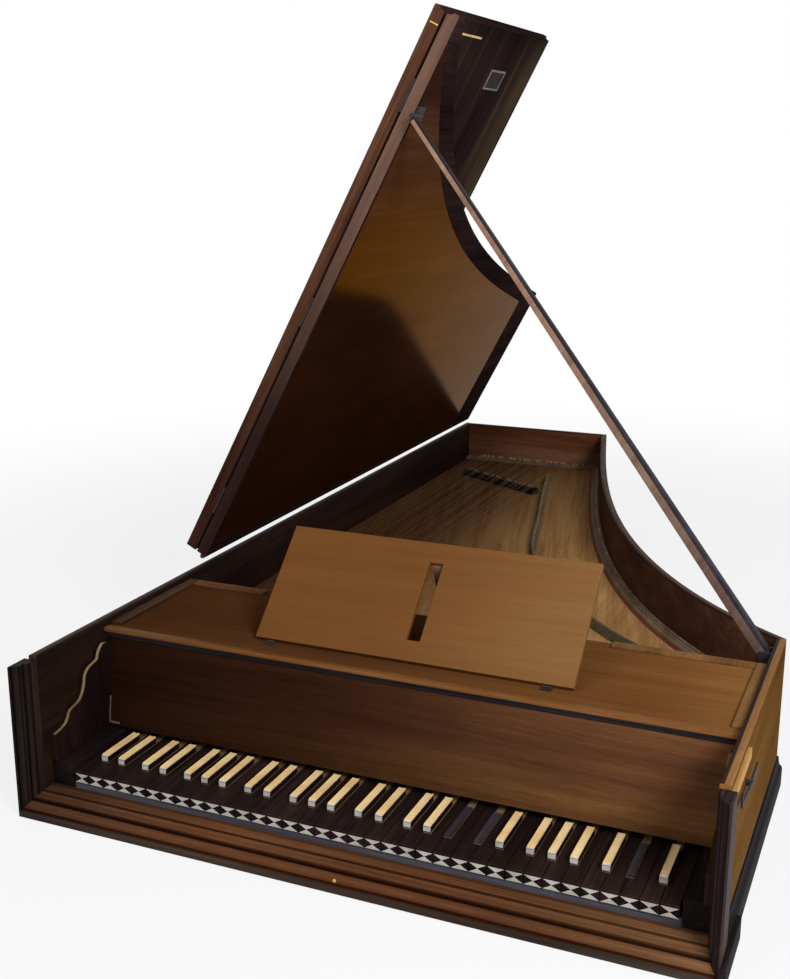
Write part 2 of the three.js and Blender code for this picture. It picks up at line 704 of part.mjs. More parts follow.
// A run of keys that moves as one: grooved heads in front, one bed behind, sharps on top
function keyRun(first, last) {
  const left = naturalSides(first).left;
  const right = naturalSides(last).right;
  const heads = [[left, frontBottom]];
  heads.push([right, frontBottom]);
  for (let i = last; i >= first; i -= 1) {
    const sides = naturalSides(i);
    heads.push([sides.right, KEY_TOP]);
    heads.push([sides.left, KEY_TOP]);
    if (i > first) {
      heads.push([sides.left, KEY_TOP - GROOVE_DEPTH]);
      heads.push([sides.left - KEY_GAP, KEY_TOP - GROOVE_DEPTH]);
    }
  }
  const bed = prismAcross([
    [headEnd - GAP, frontBottom], [undercutEnd, frontBottom], [undercutEnd, KEY_BOTTOM],
    [KEY_END, KEY_BOTTOM], [KEY_END, KEY_TOP], [headEnd - GAP, KEY_TOP],
  ], left, right);
  const tops = [];
  for (let i = first; i < last; i += 1) {
    const sharp = sharps.get(i);
    if (sharp) {
      const top = sharp.bare ? SHARP_BARE_TOP : SHARP_TOP;
      const start = headEnd + KEY_GAP;
      tops.push(prismAcross([
        [start, KEY_TOP - GAP], [start + SHARP_LENGTH, KEY_TOP - GAP], [start + SHARP_LENGTH, top],
        [start + KEY_GAP, top],
      ], sharp.at - SHARP_WIDTH / 2, sharp.at + SHARP_WIDTH / 2));
    }
  }
  return join(prismBack(heads, KEY_FRONT, headEnd), bed, frontPlate(left, right), ...tops);
}

// Jacks stand on the keys' ends, one to a key
function jack(at) {
  return block(at - JACK_WIDTH / 2, at + JACK_WIDTH / 2, JACK_MIDDLE - JACK_DEPTH / 2,
    JACK_MIDDLE + JACK_DEPTH / 2, KEY_TOP + GAP, JACK_TOP);
}

const keyPlaces = [];
for (let i = 0; i < NATURALS; i += 1) {
  const { tailLeft, tailRight } = naturalSides(i);
  keyPlaces.push({ natural: i, at: (tailLeft + tailRight) / 2 });
  if (sharps.has(i)) {
    keyPlaces.push({ natural: i, sharp: sharps.get(i), at: sharps.get(i).at });
  }
}

function jackRun(places) {
  const strip = block(places[0].at, places[places.length - 1].at, JACK_MIDDLE - JACK_STRIP_DEPTH / 2,
    JACK_MIDDLE + JACK_STRIP_DEPTH / 2, KEY_TOP + GAP, KEY_TOP + GAP + JACK_STRIP_HEIGHT);
  return join(strip, ...places.map(({ at }) => jack(at)));
}

add(body, 'keys_bass', keyRun(0, LONE_FIRST - 1), EBONY, 0.4);
add(body, 'keys_treble', keyRun(LONE_LAST + 1, NATURALS - 1), EBONY, 0.4);
add(body, 'jacks_bass', jackRun(keyPlaces.filter(({ natural }) => natural < LONE_FIRST)), PINE, 0.6);
add(body, 'jacks_treble', jackRun(keyPlaces.filter(({ natural }) => natural > LONE_LAST)), PINE, 0.6);
const LONE_NAMES = ['c', 'c_sharp', 'd', 'd_sharp', 'e'];
keyPlaces.filter(({ natural }) => natural >= LONE_FIRST && natural <= LONE_LAST).forEach((place, n) => {
  const key = place.sharp ? sharpKey(place.sharp) : naturalKey(place.natural);
  add(body, `key_${LONE_NAMES[n]}`, key, EBONY, 0.4);
  add(body, `jack_${LONE_NAMES[n]}`, jack(place.at), PINE, 0.6);
});

// Register with a slot for each jack, and the rail over the jacks
const slotHalf = JACK_WIDTH / 2 + JACK_CLEARANCE;
const slotDeep = JACK_DEPTH / 2 + JACK_CLEARANCE;
const slots = keyPlaces.map(({ at }) => block(at - slotHalf, at + slotHalf, JACK_MIDDLE - slotDeep,
  JACK_MIDDLE + slotDeep, REGISTER_BOTTOM - OVERRUN, REGISTER_TOP + OVERRUN));
add(body, 'register', cut(
  block(-FITTED, FITTED, PLANK_BACK + GAP, BELLY_FRONT - GAP, REGISTER_BOTTOM, REGISTER_TOP),
  ...slots,
), PINE, 0.6);
add(body, 'jack_rail', block(-FITTED, FITTED, PLANK_BACK, BELLY_FRONT, JACK_RAIL_BOTTOM, JACK_RAIL_TOP),
  DARK_WALNUT, 0.5);

// Wrestplank with its pins, and the nut
const pinHalf = PIN_WIDTH / 2;
const pins = keyPlaces.map(({ at }, n) => {
  const d = PIN_FRONT + (n % PIN_ROWS) * PIN_ROW;
  const pinX = at + PIN_OFFSET;
  return block(pinX - pinHalf, pinX + pinHalf, d - pinHalf, d + pinHalf, PLANK_TOP - GAP, PIN_TOP);
});
add(body, 'wrestplank', join(
  block(-FITTED, FITTED, PLANK_FRONT, PLANK_BACK, PLANK_BOTTOM, PLANK_TOP),
  ...pins,
), PINE, 0.6);
add(body, 'nut', prismAcross([
  [NUT_MIDDLE - NUT_FOOT / 2, PLANK_TOP + GAP], [NUT_MIDDLE + NUT_FOOT / 2, PLANK_TOP + GAP],
  [NUT_MIDDLE + NUT_CREST / 2, STRING_CREST], [NUT_MIDDLE - NUT_CREST / 2, STRING_CREST],
], NUT_SIDE - INSIDE, INSIDE - NUT_SIDE), PALE_WALNUT, 0.5);

// Soundboard on its liner and the belly rail
const bellyBack = BELLY_FRONT + BELLY_THICKNESS;
const wallInset = WALL + GAP;
const linerTop = BOARD_BOTTOM - GAP;
const linerProfile = [
  [wallInset, linerTop - LINER_HEIGHT], [wallInset, linerTop], [wallInset + LINER_WIDTH, linerTop],
  [wallInset + LINER_WIDTH / 2, linerTop - LINER_HEIGHT],
];
add(body, 'belly_rail', block(-FITTED, FITTED, BELLY_FRONT, bellyBack, WALL_BOTTOM, linerTop), PINE, 0.7);
add(body, 'soundboard_liner', wallStrip(linerProfile, threeSides(bellyBack + GAP)), PINE, 0.7);
add(body, 'soundboard', prismUp(caseOutline(wallInset, BELLY_FRONT), BOARD_BOTTOM, BOARD_TOP),
  PALE_WALNUT, 0.6);
const hitchProfile = HITCH_PROFILE_SHARES.map(([in_, up]) => [
  wallInset + in_ * HITCH_WIDTH, BOARD_TOP + GAP + up * HITCH_HEIGHT]);
add(body, 'hitchpin_rail', wallStrip(hitchProfile, (inset) => [
  [wallInset - HALF, CASE_LENGTH - inset], ...bentLine(inset).reverse(), [HALF - inset, HITCH_START],
]), DARK_WALNUT, 0.5);

// Bridges: the long one is a strip on both sides of a smooth line
const onBoard = ([across, along]) => new THREE.Vector2(
  across * HALF, CHEEK_LENGTH + along * (CASE_LENGTH - CHEEK_LENGTH));
const ridge = new THREE.SplineCurve(BRIDGE_SHARES.map(onBoard));
const ridgeRings = [];
for (let step = 0; step <= BRIDGE_STEPS; step += 1) {
  const middle = ridge.getPoint(step / BRIDGE_STEPS);
  const along = ridge.getTangent(step / BRIDGE_STEPS);
  const ring = [
    [-BRIDGE_FOOT / 2, BOARD_TOP + GAP], [BRIDGE_FOOT / 2, BOARD_TOP + GAP],
    [BRIDGE_CREST / 2, STRING_CREST], [-BRIDGE_CREST / 2, STRING_CREST],
  ];
  ridgeRings.push(ring.map(([off, up]) => new THREE.Vector3(
    middle.x - along.y * off, middle.y + along.x * off, up)));
}
add(body, 'bridge', loft(ridgeRings), PALE_WALNUT, 0.5);
const [bassStart, bassEnd] = BASS_BRIDGE_SHARES.map(onBoard);
const bassAlong = bassEnd.clone().sub(bassStart).normalize().multiplyScalar(BASS_BRIDGE_WIDTH / 2);
add(body, 'bass_bridge', prismUp([
  [bassStart.x - bassAlong.y, bassStart.y + bassAlong.x],
  [bassStart.x + bassAlong.y, bassStart.y - bassAlong.x],
  [bassEnd.x + bassAlong.y, bassEnd.y - bassAlong.x],
  [bassEnd.x - bassAlong.y, bassEnd.y + bassAlong.x],
], BOARD_TOP + GAP, STRING_CREST), EBONY, 0.5);

// Strings: one to a key, held side by side by the cloth listing woven through them at the pins
const endLine = bentLine(STRING_END_INSET);

function stringEnd(x) {
  for (let n = 0; n + 1 < endLine.length; n += 1) {
    const [x0, d0] = endLine[n];
    const [x1, d1] = endLine[n + 1];
    if (x <= x0 && x >= x1) {
      return d0 + (d1 - d0) * (x0 - x) / (x0 - x1);
    }
  }
  return CASE_LENGTH - STRING_END_INSET;
}

const listingEnd = STRING_START + LISTING_WIDTH;
const comb = [[keyPlaces[0].at - LISTING_WIDTH, STRING_START]];
comb.push([keyPlaces[keyPlaces.length - 1].at + LISTING_WIDTH, STRING_START]);
comb.push([keyPlaces[keyPlaces.length - 1].at + LISTING_WIDTH, listingEnd]);
for (const { at } of keyPlaces.slice().reverse()) {
  const string = at - JACK_WIDTH;
  comb.push([string + STRING_SIZE / 2, listingEnd]);
  comb.push([string + STRING_SIZE / 2, stringEnd(string)]);
  comb.push([string - STRING_SIZE / 2, stringEnd(string)]);
  comb.push([string - STRING_SIZE / 2, listingEnd]);
}
comb.push([keyPlaces[0].at - LISTING_WIDTH, listingEnd]);
add(body, 'strings', prismUp(comb, STRING_BOTTOM, STRING_BOTTOM + STRING_SIZE), BRASS, 0.3, 0.8);

// Cover board with its front lip and raised border
const coverBottom = COVER_TOP - COVER_THICKNESS;
const lipBottom = COVER_TOP - LIP_HEIGHT;
const coverSection = [
  [COVER_FRONT - LIP_OUTSET, COVER_TOP - COVER_THICKNESS / 8], [COVER_FRONT - LIP_OUTSET * 3 / 4, COVER_TOP],
  [COVER_BACK, COVER_TOP], [COVER_BACK, coverBottom], [boardFace(nameboardTop) - GAP, coverBottom],
  [boardFace(lipBottom) - GAP, lipBottom], [COVER_FRONT - LIP_OUTSET / 3, lipBottom],
  [COVER_FRONT - LIP_OUTSET / 2, coverBottom - COVER_THICKNESS / 2],
  [COVER_FRONT - LIP_OUTSET * 3 / 4, coverBottom - COVER_THICKNESS / 4],
  [COVER_FRONT - LIP_OUTSET, coverBottom + COVER_THICKNESS / 4],
];
const borderTop = COVER_TOP + BORDER_HEIGHT;
const borderFoot = COVER_TOP - GAP;
add(body, 'cover_board', join(
  prismAcross(coverSection, -FITTED, FITTED),
  block(-FITTED, BORDER_WIDTH - FITTED, BORDER_FRONT, COVER_BACK, borderFoot, borderTop),
  block(FITTED - BORDER_WIDTH, FITTED, BORDER_FRONT, COVER_BACK, borderFoot, borderTop),
  block(-FITTED, BORDER_LEFT_END, COVER_BACK - BORDER_WIDTH, COVER_BACK, borderFoot, borderTop),
  block(BORDER_RIGHT_END, FITTED, COVER_BACK - BORDER_WIDTH, COVER_BACK, borderFoot, borderTop),
), PALE_WALNUT, 0.35);

// Music desk, drawn flat on the cover and turned up about its front edge
const desk = turned(body, 0, DESK_PIVOT, DESK_FLAT, 'x', degrees(DESK_ANGLE));
add(desk, 'music_desk', cut(
  block(DESK_LEFT, DESK_RIGHT, DESK_PIVOT, DESK_PIVOT + DESK_HEIGHT, DESK_FLAT, DESK_FLAT + DESK_THICKNESS),
  block(SLOT_LEFT, SLOT_RIGHT, DESK_PIVOT + SLOT_START, DESK_PIVOT + SLOT_END, DESK_FLAT - OVERRUN, LID_TOP),
), PALE_WALNUT, 0.35);

// Strut: its tip bites a little into the slot's upper end
const deskTurn = degrees(DESK_ANGLE);
const strutTurn = degrees(STRUT_LEAN);
const biteAlong = SLOT_END - GAP;
const biteD = DESK_PIVOT + biteAlong * Math.cos(deskTurn) - STRUT_BITE * Math.sin(deskTurn);
const biteZ = DESK_FLAT + biteAlong * Math.sin(deskTurn) + STRUT_BITE * Math.cos(deskTurn);
const strutZ = DESK_FLAT + STRUT_EYE;
const strutHalf = STRUT_THICKNESS / 2;
const strutLength = (biteZ - strutZ - strutHalf * Math.sin(strutTurn)) / Math.cos(strutTurn);
const strutD = biteD + strutLength * Math.sin(strutTurn) - strutHalf * Math.cos(strutTurn);
const strutMiddle = (SLOT_LEFT + SLOT_RIGHT) / 2;
const strut = turned(body, 0, strutD, strutZ, 'x', -(Math.PI / 2 - strutTurn));
add(strut, 'desk_strut', join(
  block(strutMiddle - STRUT_WIDTH / 2, strutMiddle + STRUT_WIDTH / 2, strutD - strutLength, strutD,
    strutZ - strutHalf, strutZ + strutHalf),
  rodAcross(STRUT_EYE, strutMiddle - STRUT_WIDTH / 2, strutMiddle + STRUT_WIDTH / 2, strutD, strutZ),
), PALE_WALNUT, 0.4);

// Desk hinges: leaves on the cover in front of the desk
function deskHinge(at) {
  const back = DESK_PIVOT - DESK_LEAF_SPACE;
  const knuckle = DESK_LEAF_SPACE;
  const top = DESK_FLAT + DESK_LEAF_THICKNESS;
  return prismAcross([
    [back - DESK_LEAF_LENGTH, DESK_FLAT], [back, DESK_FLAT], [back, top],
    [back - knuckle / 3, top + DESK_LEAF_THICKNESS * 2 / 3],
    [back - knuckle * 2 / 3, top + DESK_LEAF_THICKNESS * 2 / 3],
    [back - knuckle, top], [back - DESK_LEAF_LENGTH, top],
  ], at - DESK_HINGE_WIDTH / 2, at + DESK_HINGE_WIDTH / 2);
}
add(body, 'desk_hinge_left', deskHinge(DESK_HINGE_LEFT), IRON, 0.4, 0.8);
add(body, 'desk_hinge_right', deskHinge(DESK_HINGE_RIGHT), IRON, 0.4, 0.8);

// Main lid: moulded on its free edges, straight at the spine and at the seam to the flap
const lid = turned(body, LID_PIVOT_X, 0, LID_PIVOT_Z, 'y', -degrees(LID_ANGLE));
const ring = (points, z) => points.map(([x, d]) => new THREE.Vector3(x, d, z));
const edgeLevels = LID_EDGE_SHARES.map(([inward, up]) => [
  LID_OVERHANG * (inward - 1), LID_BOTTOM + up * LID_THICKNESS]);
add(lid, 'main_lid', loft(edgeLevels.map(([inset, z]) => ring(caseOutline(inset, LID_FRONT, 0), z))),
  WALNUT, 0.4);

// Flap: folded back over the main lid
const flapEnd = LID_FRONT - FLAP_SEAM;
const flap = turned(lid, 0, FLAP_PIVOT_D, FLAP_PIVOT_Z, 'x', Math.PI);
add(flap, 'lid_flap', loft(edgeLevels.map(([inset, z]) => ring([
  [-HALF, FLAP_FRONT + inset + LID_OVERHANG], [HALF - inset, FLAP_FRONT + inset + LID_OVERHANG],
  [HALF - inset, flapEnd], [-HALF, flapEnd],
], z))), WALNUT, 0.4);

// Lock plate on the flap's outer face, sunk inside its rim
const lockBottom = LID_TOP + GAP;
const lockTop = lockBottom + LOCK_THICKNESS;
const lockLeft = HALF - LOCK_INSET;
const lockRight = lockLeft + LOCK_WIDTH;
const lockBack = LOCK_FRONT + LOCK_LENGTH;
add(flap, 'lock_plate', cut(
  block(lockLeft, lockRight, LOCK_FRONT, lockBack, lockBottom, lockTop),
  block(lockLeft + LOCK_RIM, lockRight - LOCK_RIM, LOCK_FRONT + LOCK_RIM, lockBack - LOCK_RIM,
    lockTop - LOCK_RECESS, lockBottom + OVERRUN),
), IRON, 0.4, 0.8);

// Lid hinges: barrel behind the spine, leaf on the lid's edge, strap over its outer face
const lidHinges = [
  ['lid_hinge_front', LID_FRONT + LID_HINGE_BEHIND_SEAM],
  ['lid_hinge_rear', CASE_LENGTH - LID_HINGE_BEFORE_TAIL],
];
for (const [name, at] of lidHinges) {
  const leafIn = -HALF - GAP;
  const leafOut = leafIn - LID_LEAF;
  const strapBottom = LID_TOP + GAP;
  const strapTop = strapBottom + LID_STRAP_THICKNESS;
  const leafBottom = CASE_TOP + LID_LEAF_RISE;
  const start = at - LID_HINGE_LENGTH / 2;
  const end = at + LID_HINGE_LENGTH / 2;
  add(lid, name, join(
    prismBack([
      [leafOut, leafBottom], [leafIn, leafBottom], [leafIn, strapBottom],
      [leafIn + LID_STRAP_LENGTH, strapBottom], [leafIn + LID_STRAP_LENGTH, strapTop], [leafOut, strapTop],
    ], start, end),
    rodBack(LID_BARREL, start, end, LID_PIVOT_X, LID_PIVOT_Z),
  ), IRON, 0.45, 0.8);
}

// Flap hinges: barrel on the seam, leaf on the main lid's outer face
const flapHinges = [
  ['flap_hinge_left', FLAP_HINGE_LEFT_INSET - HALF],
  ['flap_hinge_middle', FLAP_HINGE_MIDDLE],
  ['flap_hinge_right', HALF - FLAP_HINGE_RIGHT_INSET],
];
for (const [name, at] of flapHinges) {
  const leafBottom = LID_TOP + GAP;
  const start = at - FLAP_HINGE_LENGTH / 2;
  const end = at + FLAP_HINGE_LENGTH / 2;
  add(lid, name, join(
    block(start, end, FLAP_PIVOT_D, FLAP_PIVOT_D + FLAP_LEAF_LENGTH,
      leafBottom, leafBottom + FLAP_LEAF_THICKNESS),
    rodAcross(FLAP_BARREL, start, end, FLAP_PIVOT_D, FLAP_PIVOT_Z),
  ), IRON, 0.4, 0.8);
}

// Prop stick and peg: the peg lies on the stick's cut end when the lid is open
const stickTurn = degrees(STICK_ANGLE);
const lidTurn = degrees(LID_ANGLE);
const pegZ = LID_BOTTOM - PEG_DROP;
const faceX = (-Math.cos(stickTurn) + Math.sin(stickTurn)) / Math.SQRT2;
const faceZ = (Math.sin(stickTurn) + Math.cos(stickTurn)) / Math.SQRT2;
const reachX = STICK_X + (PEG_RADIUS + GAP) * faceX - LID_PIVOT_X - (LID_PIVOT_Z - pegZ) * Math.sin(lidTurn);
const reachZ = STICK_Z + (PEG_RADIUS + GAP) * faceZ - LID_PIVOT_Z + (LID_PIVOT_Z - pegZ) * Math.cos(lidTurn);
const spread = Math.sin(stickTurn + lidTurn);
const stickLength = (reachX * Math.sin(lidTurn) - reachZ * Math.cos(lidTurn)) / spread;
const pegReach = (reachX * Math.sin(stickTurn) + reachZ * Math.cos(stickTurn)) / spread;
const pegX = LID_PIVOT_X + pegReach;

const stick = new THREE.Group();
stick.position.set(STICK_X, STICK_PLANE, STICK_Z);
stick.rotation.y = -(Math.PI - stickTurn);
body.add(stick);
const footHalf = STICK_FOOT / 2;
const tipHalf = STICK_TIP / 2;
const stickSide = prismBack([
  [0, -footHalf], [stickLength - tipHalf, -tipHalf], [stickLength + tipHalf, tipHalf], [0, footHalf],
], -STICK_FOOT_DEPTH, STICK_FOOT_DEPTH);
const stickEdge = prismUp([
  [-footHalf, -STICK_FOOT_DEPTH / 2], [stickLength + STICK_TIP, -STICK_TIP_DEPTH / 2],
  [stickLength + STICK_TIP, STICK_TIP_DEPTH / 2], [-footHalf, STICK_FOOT_DEPTH / 2],
], -STICK_FOOT, STICK_FOOT);
const stickEye = rodBack(footHalf, -STICK_FOOT_DEPTH / 2, STICK_FOOT_DEPTH / 2, 0, 0);
add(stick, 'prop_stick', cut(join(overlap(stickSide, stickEdge), stickEye),
  rodBack(STICK_PIN + GAP, -OVERRUN, OVERRUN, 0, 0)), WALNUT, 0.45);

// Bracket: two ears on the cheek's inner face and the pin through the stick's foot
const earGap = STICK_FOOT_DEPTH / 2 + 2 * GAP;
const earFront = STICK_PLANE - earGap - EAR_THICKNESS;
const earBack = STICK_PLANE + earGap + EAR_THICKNESS;
const earPlan = [STICK_X - EAR_DROP, FITTED];
add(body, 'prop_bracket', join(
  block(...earPlan, earFront, earFront + EAR_THICKNESS, STICK_Z - EAR_DROP, STICK_Z + EAR_DROP),
  block(...earPlan, earBack - EAR_THICKNESS, earBack, STICK_Z - EAR_DROP, STICK_Z + EAR_DROP),
  rodBack(STICK_PIN, earFront, earBack, STICK_X, STICK_Z),
), IRON, 0.5, 0.7);

const plateTop = LID_BOTTOM - GAP;
const plateFront = LID_FRONT + PEG_INSET;
add(lid, 'prop_peg', join(
  block(pegX - PEG_PLATE_WIDTH / 2, pegX + PEG_PLATE_WIDTH / 2, plateFront, plateFront + PEG_PLATE_LENGTH,
    plateTop - PEG_PLATE_THICKNESS, plateTop),
  rodBack(PEG_RADIUS, STICK_PLANE - PEG_AHEAD, plateFront + PEG_PLATE_LENGTH / 2, pegX, pegZ),
), IRON, 0.5, 0.7);

// Fittings outside the cheek: strip behind the post, hook and its plate
const sideFace = HALF + GAP;
const stripFront = POST_DEPTH + GAP;
const stripTop = CASE_TOP - STRIP_DROP;
add(body, 'cheek_strip', block(sideFace, sideFace + STRIP_THICKNESS, stripFront, stripFront + STRIP_LENGTH,
  stripTop - STRIP_HEIGHT, stripTop), PALE_WALNUT, 0.4);
const hookPlateBottom = CASE_TOP - HOOK_PLATE_DROP;
add(body, 'hook_plate', block(sideFace, sideFace + HOOK_PLATE_THICKNESS, HOOK_PLATE_FRONT,
  HOOK_PLATE_FRONT + HOOK_PLATE_LENGTH, hookPlateBottom, hookPlateBottom + HOOK_PLATE_HEIGHT), IRON, 0.4, 0.8);
const hookIn = sideFace + HOOK_STANDOFF;
const hookSlope = HOOK_RISE / HOOK_LENGTH;
const hookTip = HOOK_PIVOT - HOOK_LENGTH;
const hookHalf = HOOK_WIDTH / 2;
add(body, 'cheek_hook', join(
  prismAcross([
    [HOOK_PIVOT, HOOK_Z - hookHalf], [HOOK_PIVOT, HOOK_Z + hookHalf],
    [hookTip + HOOK_WIDTH, HOOK_Z + HOOK_RISE + hookHalf - HOOK_WIDTH * hookSlope],
    [hookTip + HOOK_WIDTH, HOOK_Z + HOOK_RISE + HOOK_TURN], [hookTip, HOOK_Z + HOOK_RISE + HOOK_TURN],
    [hookTip, HOOK_Z + HOOK_RISE - hookHalf],
  ], hookIn, hookIn + HOOK_THICKNESS),
  rodAcross(HOOK_BOSS, sideFace, hookIn + HOOK_THICKNESS, HOOK_PIVOT, HOOK_Z),
), IRON, 0.4, 0.8);

export default harpsichord;
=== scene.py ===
import math
import bpy
import bmesh
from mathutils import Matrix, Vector


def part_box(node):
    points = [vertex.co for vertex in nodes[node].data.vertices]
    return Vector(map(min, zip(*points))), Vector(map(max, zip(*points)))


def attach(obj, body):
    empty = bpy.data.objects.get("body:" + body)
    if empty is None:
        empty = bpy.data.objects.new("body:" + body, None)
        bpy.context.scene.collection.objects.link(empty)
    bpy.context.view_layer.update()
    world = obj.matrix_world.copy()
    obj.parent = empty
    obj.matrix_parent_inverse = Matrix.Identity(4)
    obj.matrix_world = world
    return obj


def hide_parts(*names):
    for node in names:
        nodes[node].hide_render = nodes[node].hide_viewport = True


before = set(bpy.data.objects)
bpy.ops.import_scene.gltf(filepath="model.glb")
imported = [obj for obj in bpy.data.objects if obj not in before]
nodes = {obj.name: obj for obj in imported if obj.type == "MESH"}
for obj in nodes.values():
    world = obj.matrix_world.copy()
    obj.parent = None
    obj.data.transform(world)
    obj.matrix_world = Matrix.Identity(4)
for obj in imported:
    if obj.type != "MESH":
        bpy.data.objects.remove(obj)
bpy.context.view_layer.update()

# Sizes in millimetres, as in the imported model. D is the distance behind the case's front.
METRE = 1000
LENGTH = 1725
HALF = 463
WALL = 13
INSIDE = HALF - WALL
FITTED = INSIDE - 0.3
TOP = 223.5
CHEEK = 501
TAIL_X = -103
WALL_FOOT = 12.3
WALL_FRONT = 35.3

# Open lid, folded flap, raised desk and prop stick: angles, and pivots in the plane of each turn
LID_ANGLE = math.radians(62.1)
LID_PIVOT = (-468, 231.5)
LID_FRONT = 478
FLAP_FOLD = (477.5, 243.8)
DESK_ANGLE = math.radians(44.5)
DESK_PIVOT = (233, 213.3)
STICK_ANGLE = math.radians(53.5)
STICK_FOOT = Vector((441, 210))
STICK_D = 462

# Keyboard
PITCH = 23
KEYS_LEFT = -414
NATURALS = 36

# Axes of the fades and bands in the materials
X, Y, Z = 0, 1, 2

# Materials. Colours are given from 0 to 255, as they look on a screen.


def tone(r, g, b):
    """The linear colour of a screen colour."""
    def one(c):
        c = c / 255
        return c / 12.92 if c <= 0.04045 else ((c + 0.055) / 1.055) ** 2.4
    return one(r), one(g), one(b), 1


class Nodes:
    """Short calls for the nodes of one tree."""

    def __init__(self, tree, output):
        tree.nodes.clear()
        self.tree = tree
        self.out = self.new(output)

    def new(self, kind):
        return self.tree.nodes.new(kind)

    def put(self, socket, value):
        if isinstance(value, bpy.types.NodeSocket):
            self.tree.links.new(value, socket)
        else:
            socket.default_value = value

    def coords(self, turn=(0, 0, 0), shift=(0, 0, 0)):
        node = self.new("ShaderNodeMapping")
        node.inputs["Rotation"].default_value = turn
        node.inputs["Location"].default_value = shift
        self.put(node.inputs["Vector"], self.new("ShaderNodeTexCoord").outputs["Object"])
        return node.outputs[0]

    def axes(self):
        node = self.new("ShaderNodeSeparateXYZ")
        self.put(node.inputs[0], self.coords())
        return node.outputs

    def vector(self, op, a, b):
        node = self.new("ShaderNodeVectorMath")
        node.operation = op
        self.put(node.inputs[0], a)
        self.put(node.inputs[1], b)
        return node.outputs[0]

    def distance(self):
        node = self.new("ShaderNodeVectorMath")
        node.operation = "LENGTH"
        self.put(node.inputs[0], self.coords())
        return node.outputs["Value"]

    def noise(self, vector, scale=1, detail=2, rough=0.5, out="Fac"):
        node = self.new("ShaderNodeTexNoise")
        self.put(node.inputs["Vector"], vector)
        node.inputs["Scale"].default_value = scale
        node.inputs["Detail"].default_value = detail
        node.inputs["Roughness"].default_value = rough
        return node.outputs[out]

    def calc(self, op, a, b, clamp=False):
        node = self.new("ShaderNodeMath")
        node.operation = op
        node.use_clamp = clamp
        self.put(node.inputs[0], a)
        self.put(node.inputs[1], b)
        return node.outputs[0]

    def span(self, value, low, high, to_low, to_high):
        node = self.new("ShaderNodeMapRange")
        node.interpolation_type = "SMOOTHSTEP"
        self.put(node.inputs["Value"], value)
        self.put(node.inputs["From Min"], low)
        self.put(node.inputs["From Max"], high)
        self.put(node.inputs["To Min"], to_low)
        self.put(node.inputs["To Max"], to_high)
        return node.outputs[0]

    def ramp(self, value, stops):
        node = self.new("ShaderNodeValToRGB")
        items = node.color_ramp.elements
        while len(items) < len(stops):
            items.new(0.5)
        for item, (place, colour) in zip(items, stops):
            item.position = place
            item.color = colour
        self.put(node.inputs[0], value)
        return node.outputs[0]

    def mix(self, share, a, b, kind="MIX"):
        node = self.new("ShaderNodeMix")
        node.data_type = "RGBA"
        node.blend_type = kind
        self.put(node.inputs[0], share)
        self.put(node.inputs[6], a)
        self.put(node.inputs[7], b)
        return node.outputs[2]

    def gain(self, share, colour, factor):
        """The colour, multiplied by a factor for red, green and blue where share is 1."""
        return self.mix(share, colour, self.mix(1.0, colour, (*factor, 1), "MULTIPLY"))

    def blend(self, share, a, b):
        node = self.new("ShaderNodeMixShader")
        self.put(node.inputs[0], share)
        self.put(node.inputs[1], a)
        self.put(node.inputs[2], b)
        return node.outputs[0]

    def looked_at(self):
        """1 for rays from the camera, mirrors and glass, and 0 for rays that light the part."""
        path = self.new("ShaderNodeLightPath")
        seen = self.calc("ADD", path.outputs["Is Camera Ray"], path.outputs["Is Glossy Ray"], clamp=True)
        return self.calc("ADD", seen, path.outputs["Is Transmission Ray"], clamp=True)


class Shader(Nodes):
    """A material with its principled shader."""

    def __init__(self, name, **plain):
        self.mat = bpy.data.materials.new(name)
        self.mat.use_nodes = True
        super().__init__(self.mat.node_tree, "ShaderNodeOutputMaterial")
        self.bsdf = self.new("ShaderNodeBsdfPrincipled")
        self.put(self.out.inputs[0], self.bsdf.outputs[0])
        for socket, value in plain.items():
            self.feed(socket.replace("_", " "), value)

    def feed(self, name, value):
        self.put(self.bsdf.inputs[name], value)

    def bump(self, height, strength, distance=0.0004):
        node = self.new("ShaderNodeBump")
        node.inputs["Strength"].default_value = strength
        node.inputs["Distance"].default_value = distance
        self.put(node.inputs["Height"], height)
        self.feed("Normal", node.outputs[0])


# Directions of the grain
ALONG = (0, 0, -math.pi / 2)
ACROSS = (0, 0, 0)
UPRIGHT = (0, math.pi / 2, 0)
LID_ACROSS = (0, LID_ANGLE, 0)
BOARD = (0, 0, -math.pi / 2 - 0.25)
STICK_TURN = (0, STICK_ANGLE - math.pi, 0)

# Layers of the grain: scale along and across it, detail, roughness, share in the colour
GRAIN = {
    "broad": ((1.3, 24, 24), 5, 0.6, 0.9),
    "streak": ((3.5, 150, 150), 3, 0.6, 0.55),
    "fibre": ((28, 900, 900), 2, 0.6, 0.4),
    "cloud": ((2.4, 3.4, 3.4), 2, 0.5, 0.7),
}
DRIFT_SCALE, DRIFT_REACH = (1.1, 5, 5), (0, 0.05, 0.05)
PORE_SCALE, PORE_SHARE = (60, 1500, 1500), 0.55
SEED_STEP = (1.7, 0.9, 2.3)
BAND_EDGE = 0.6


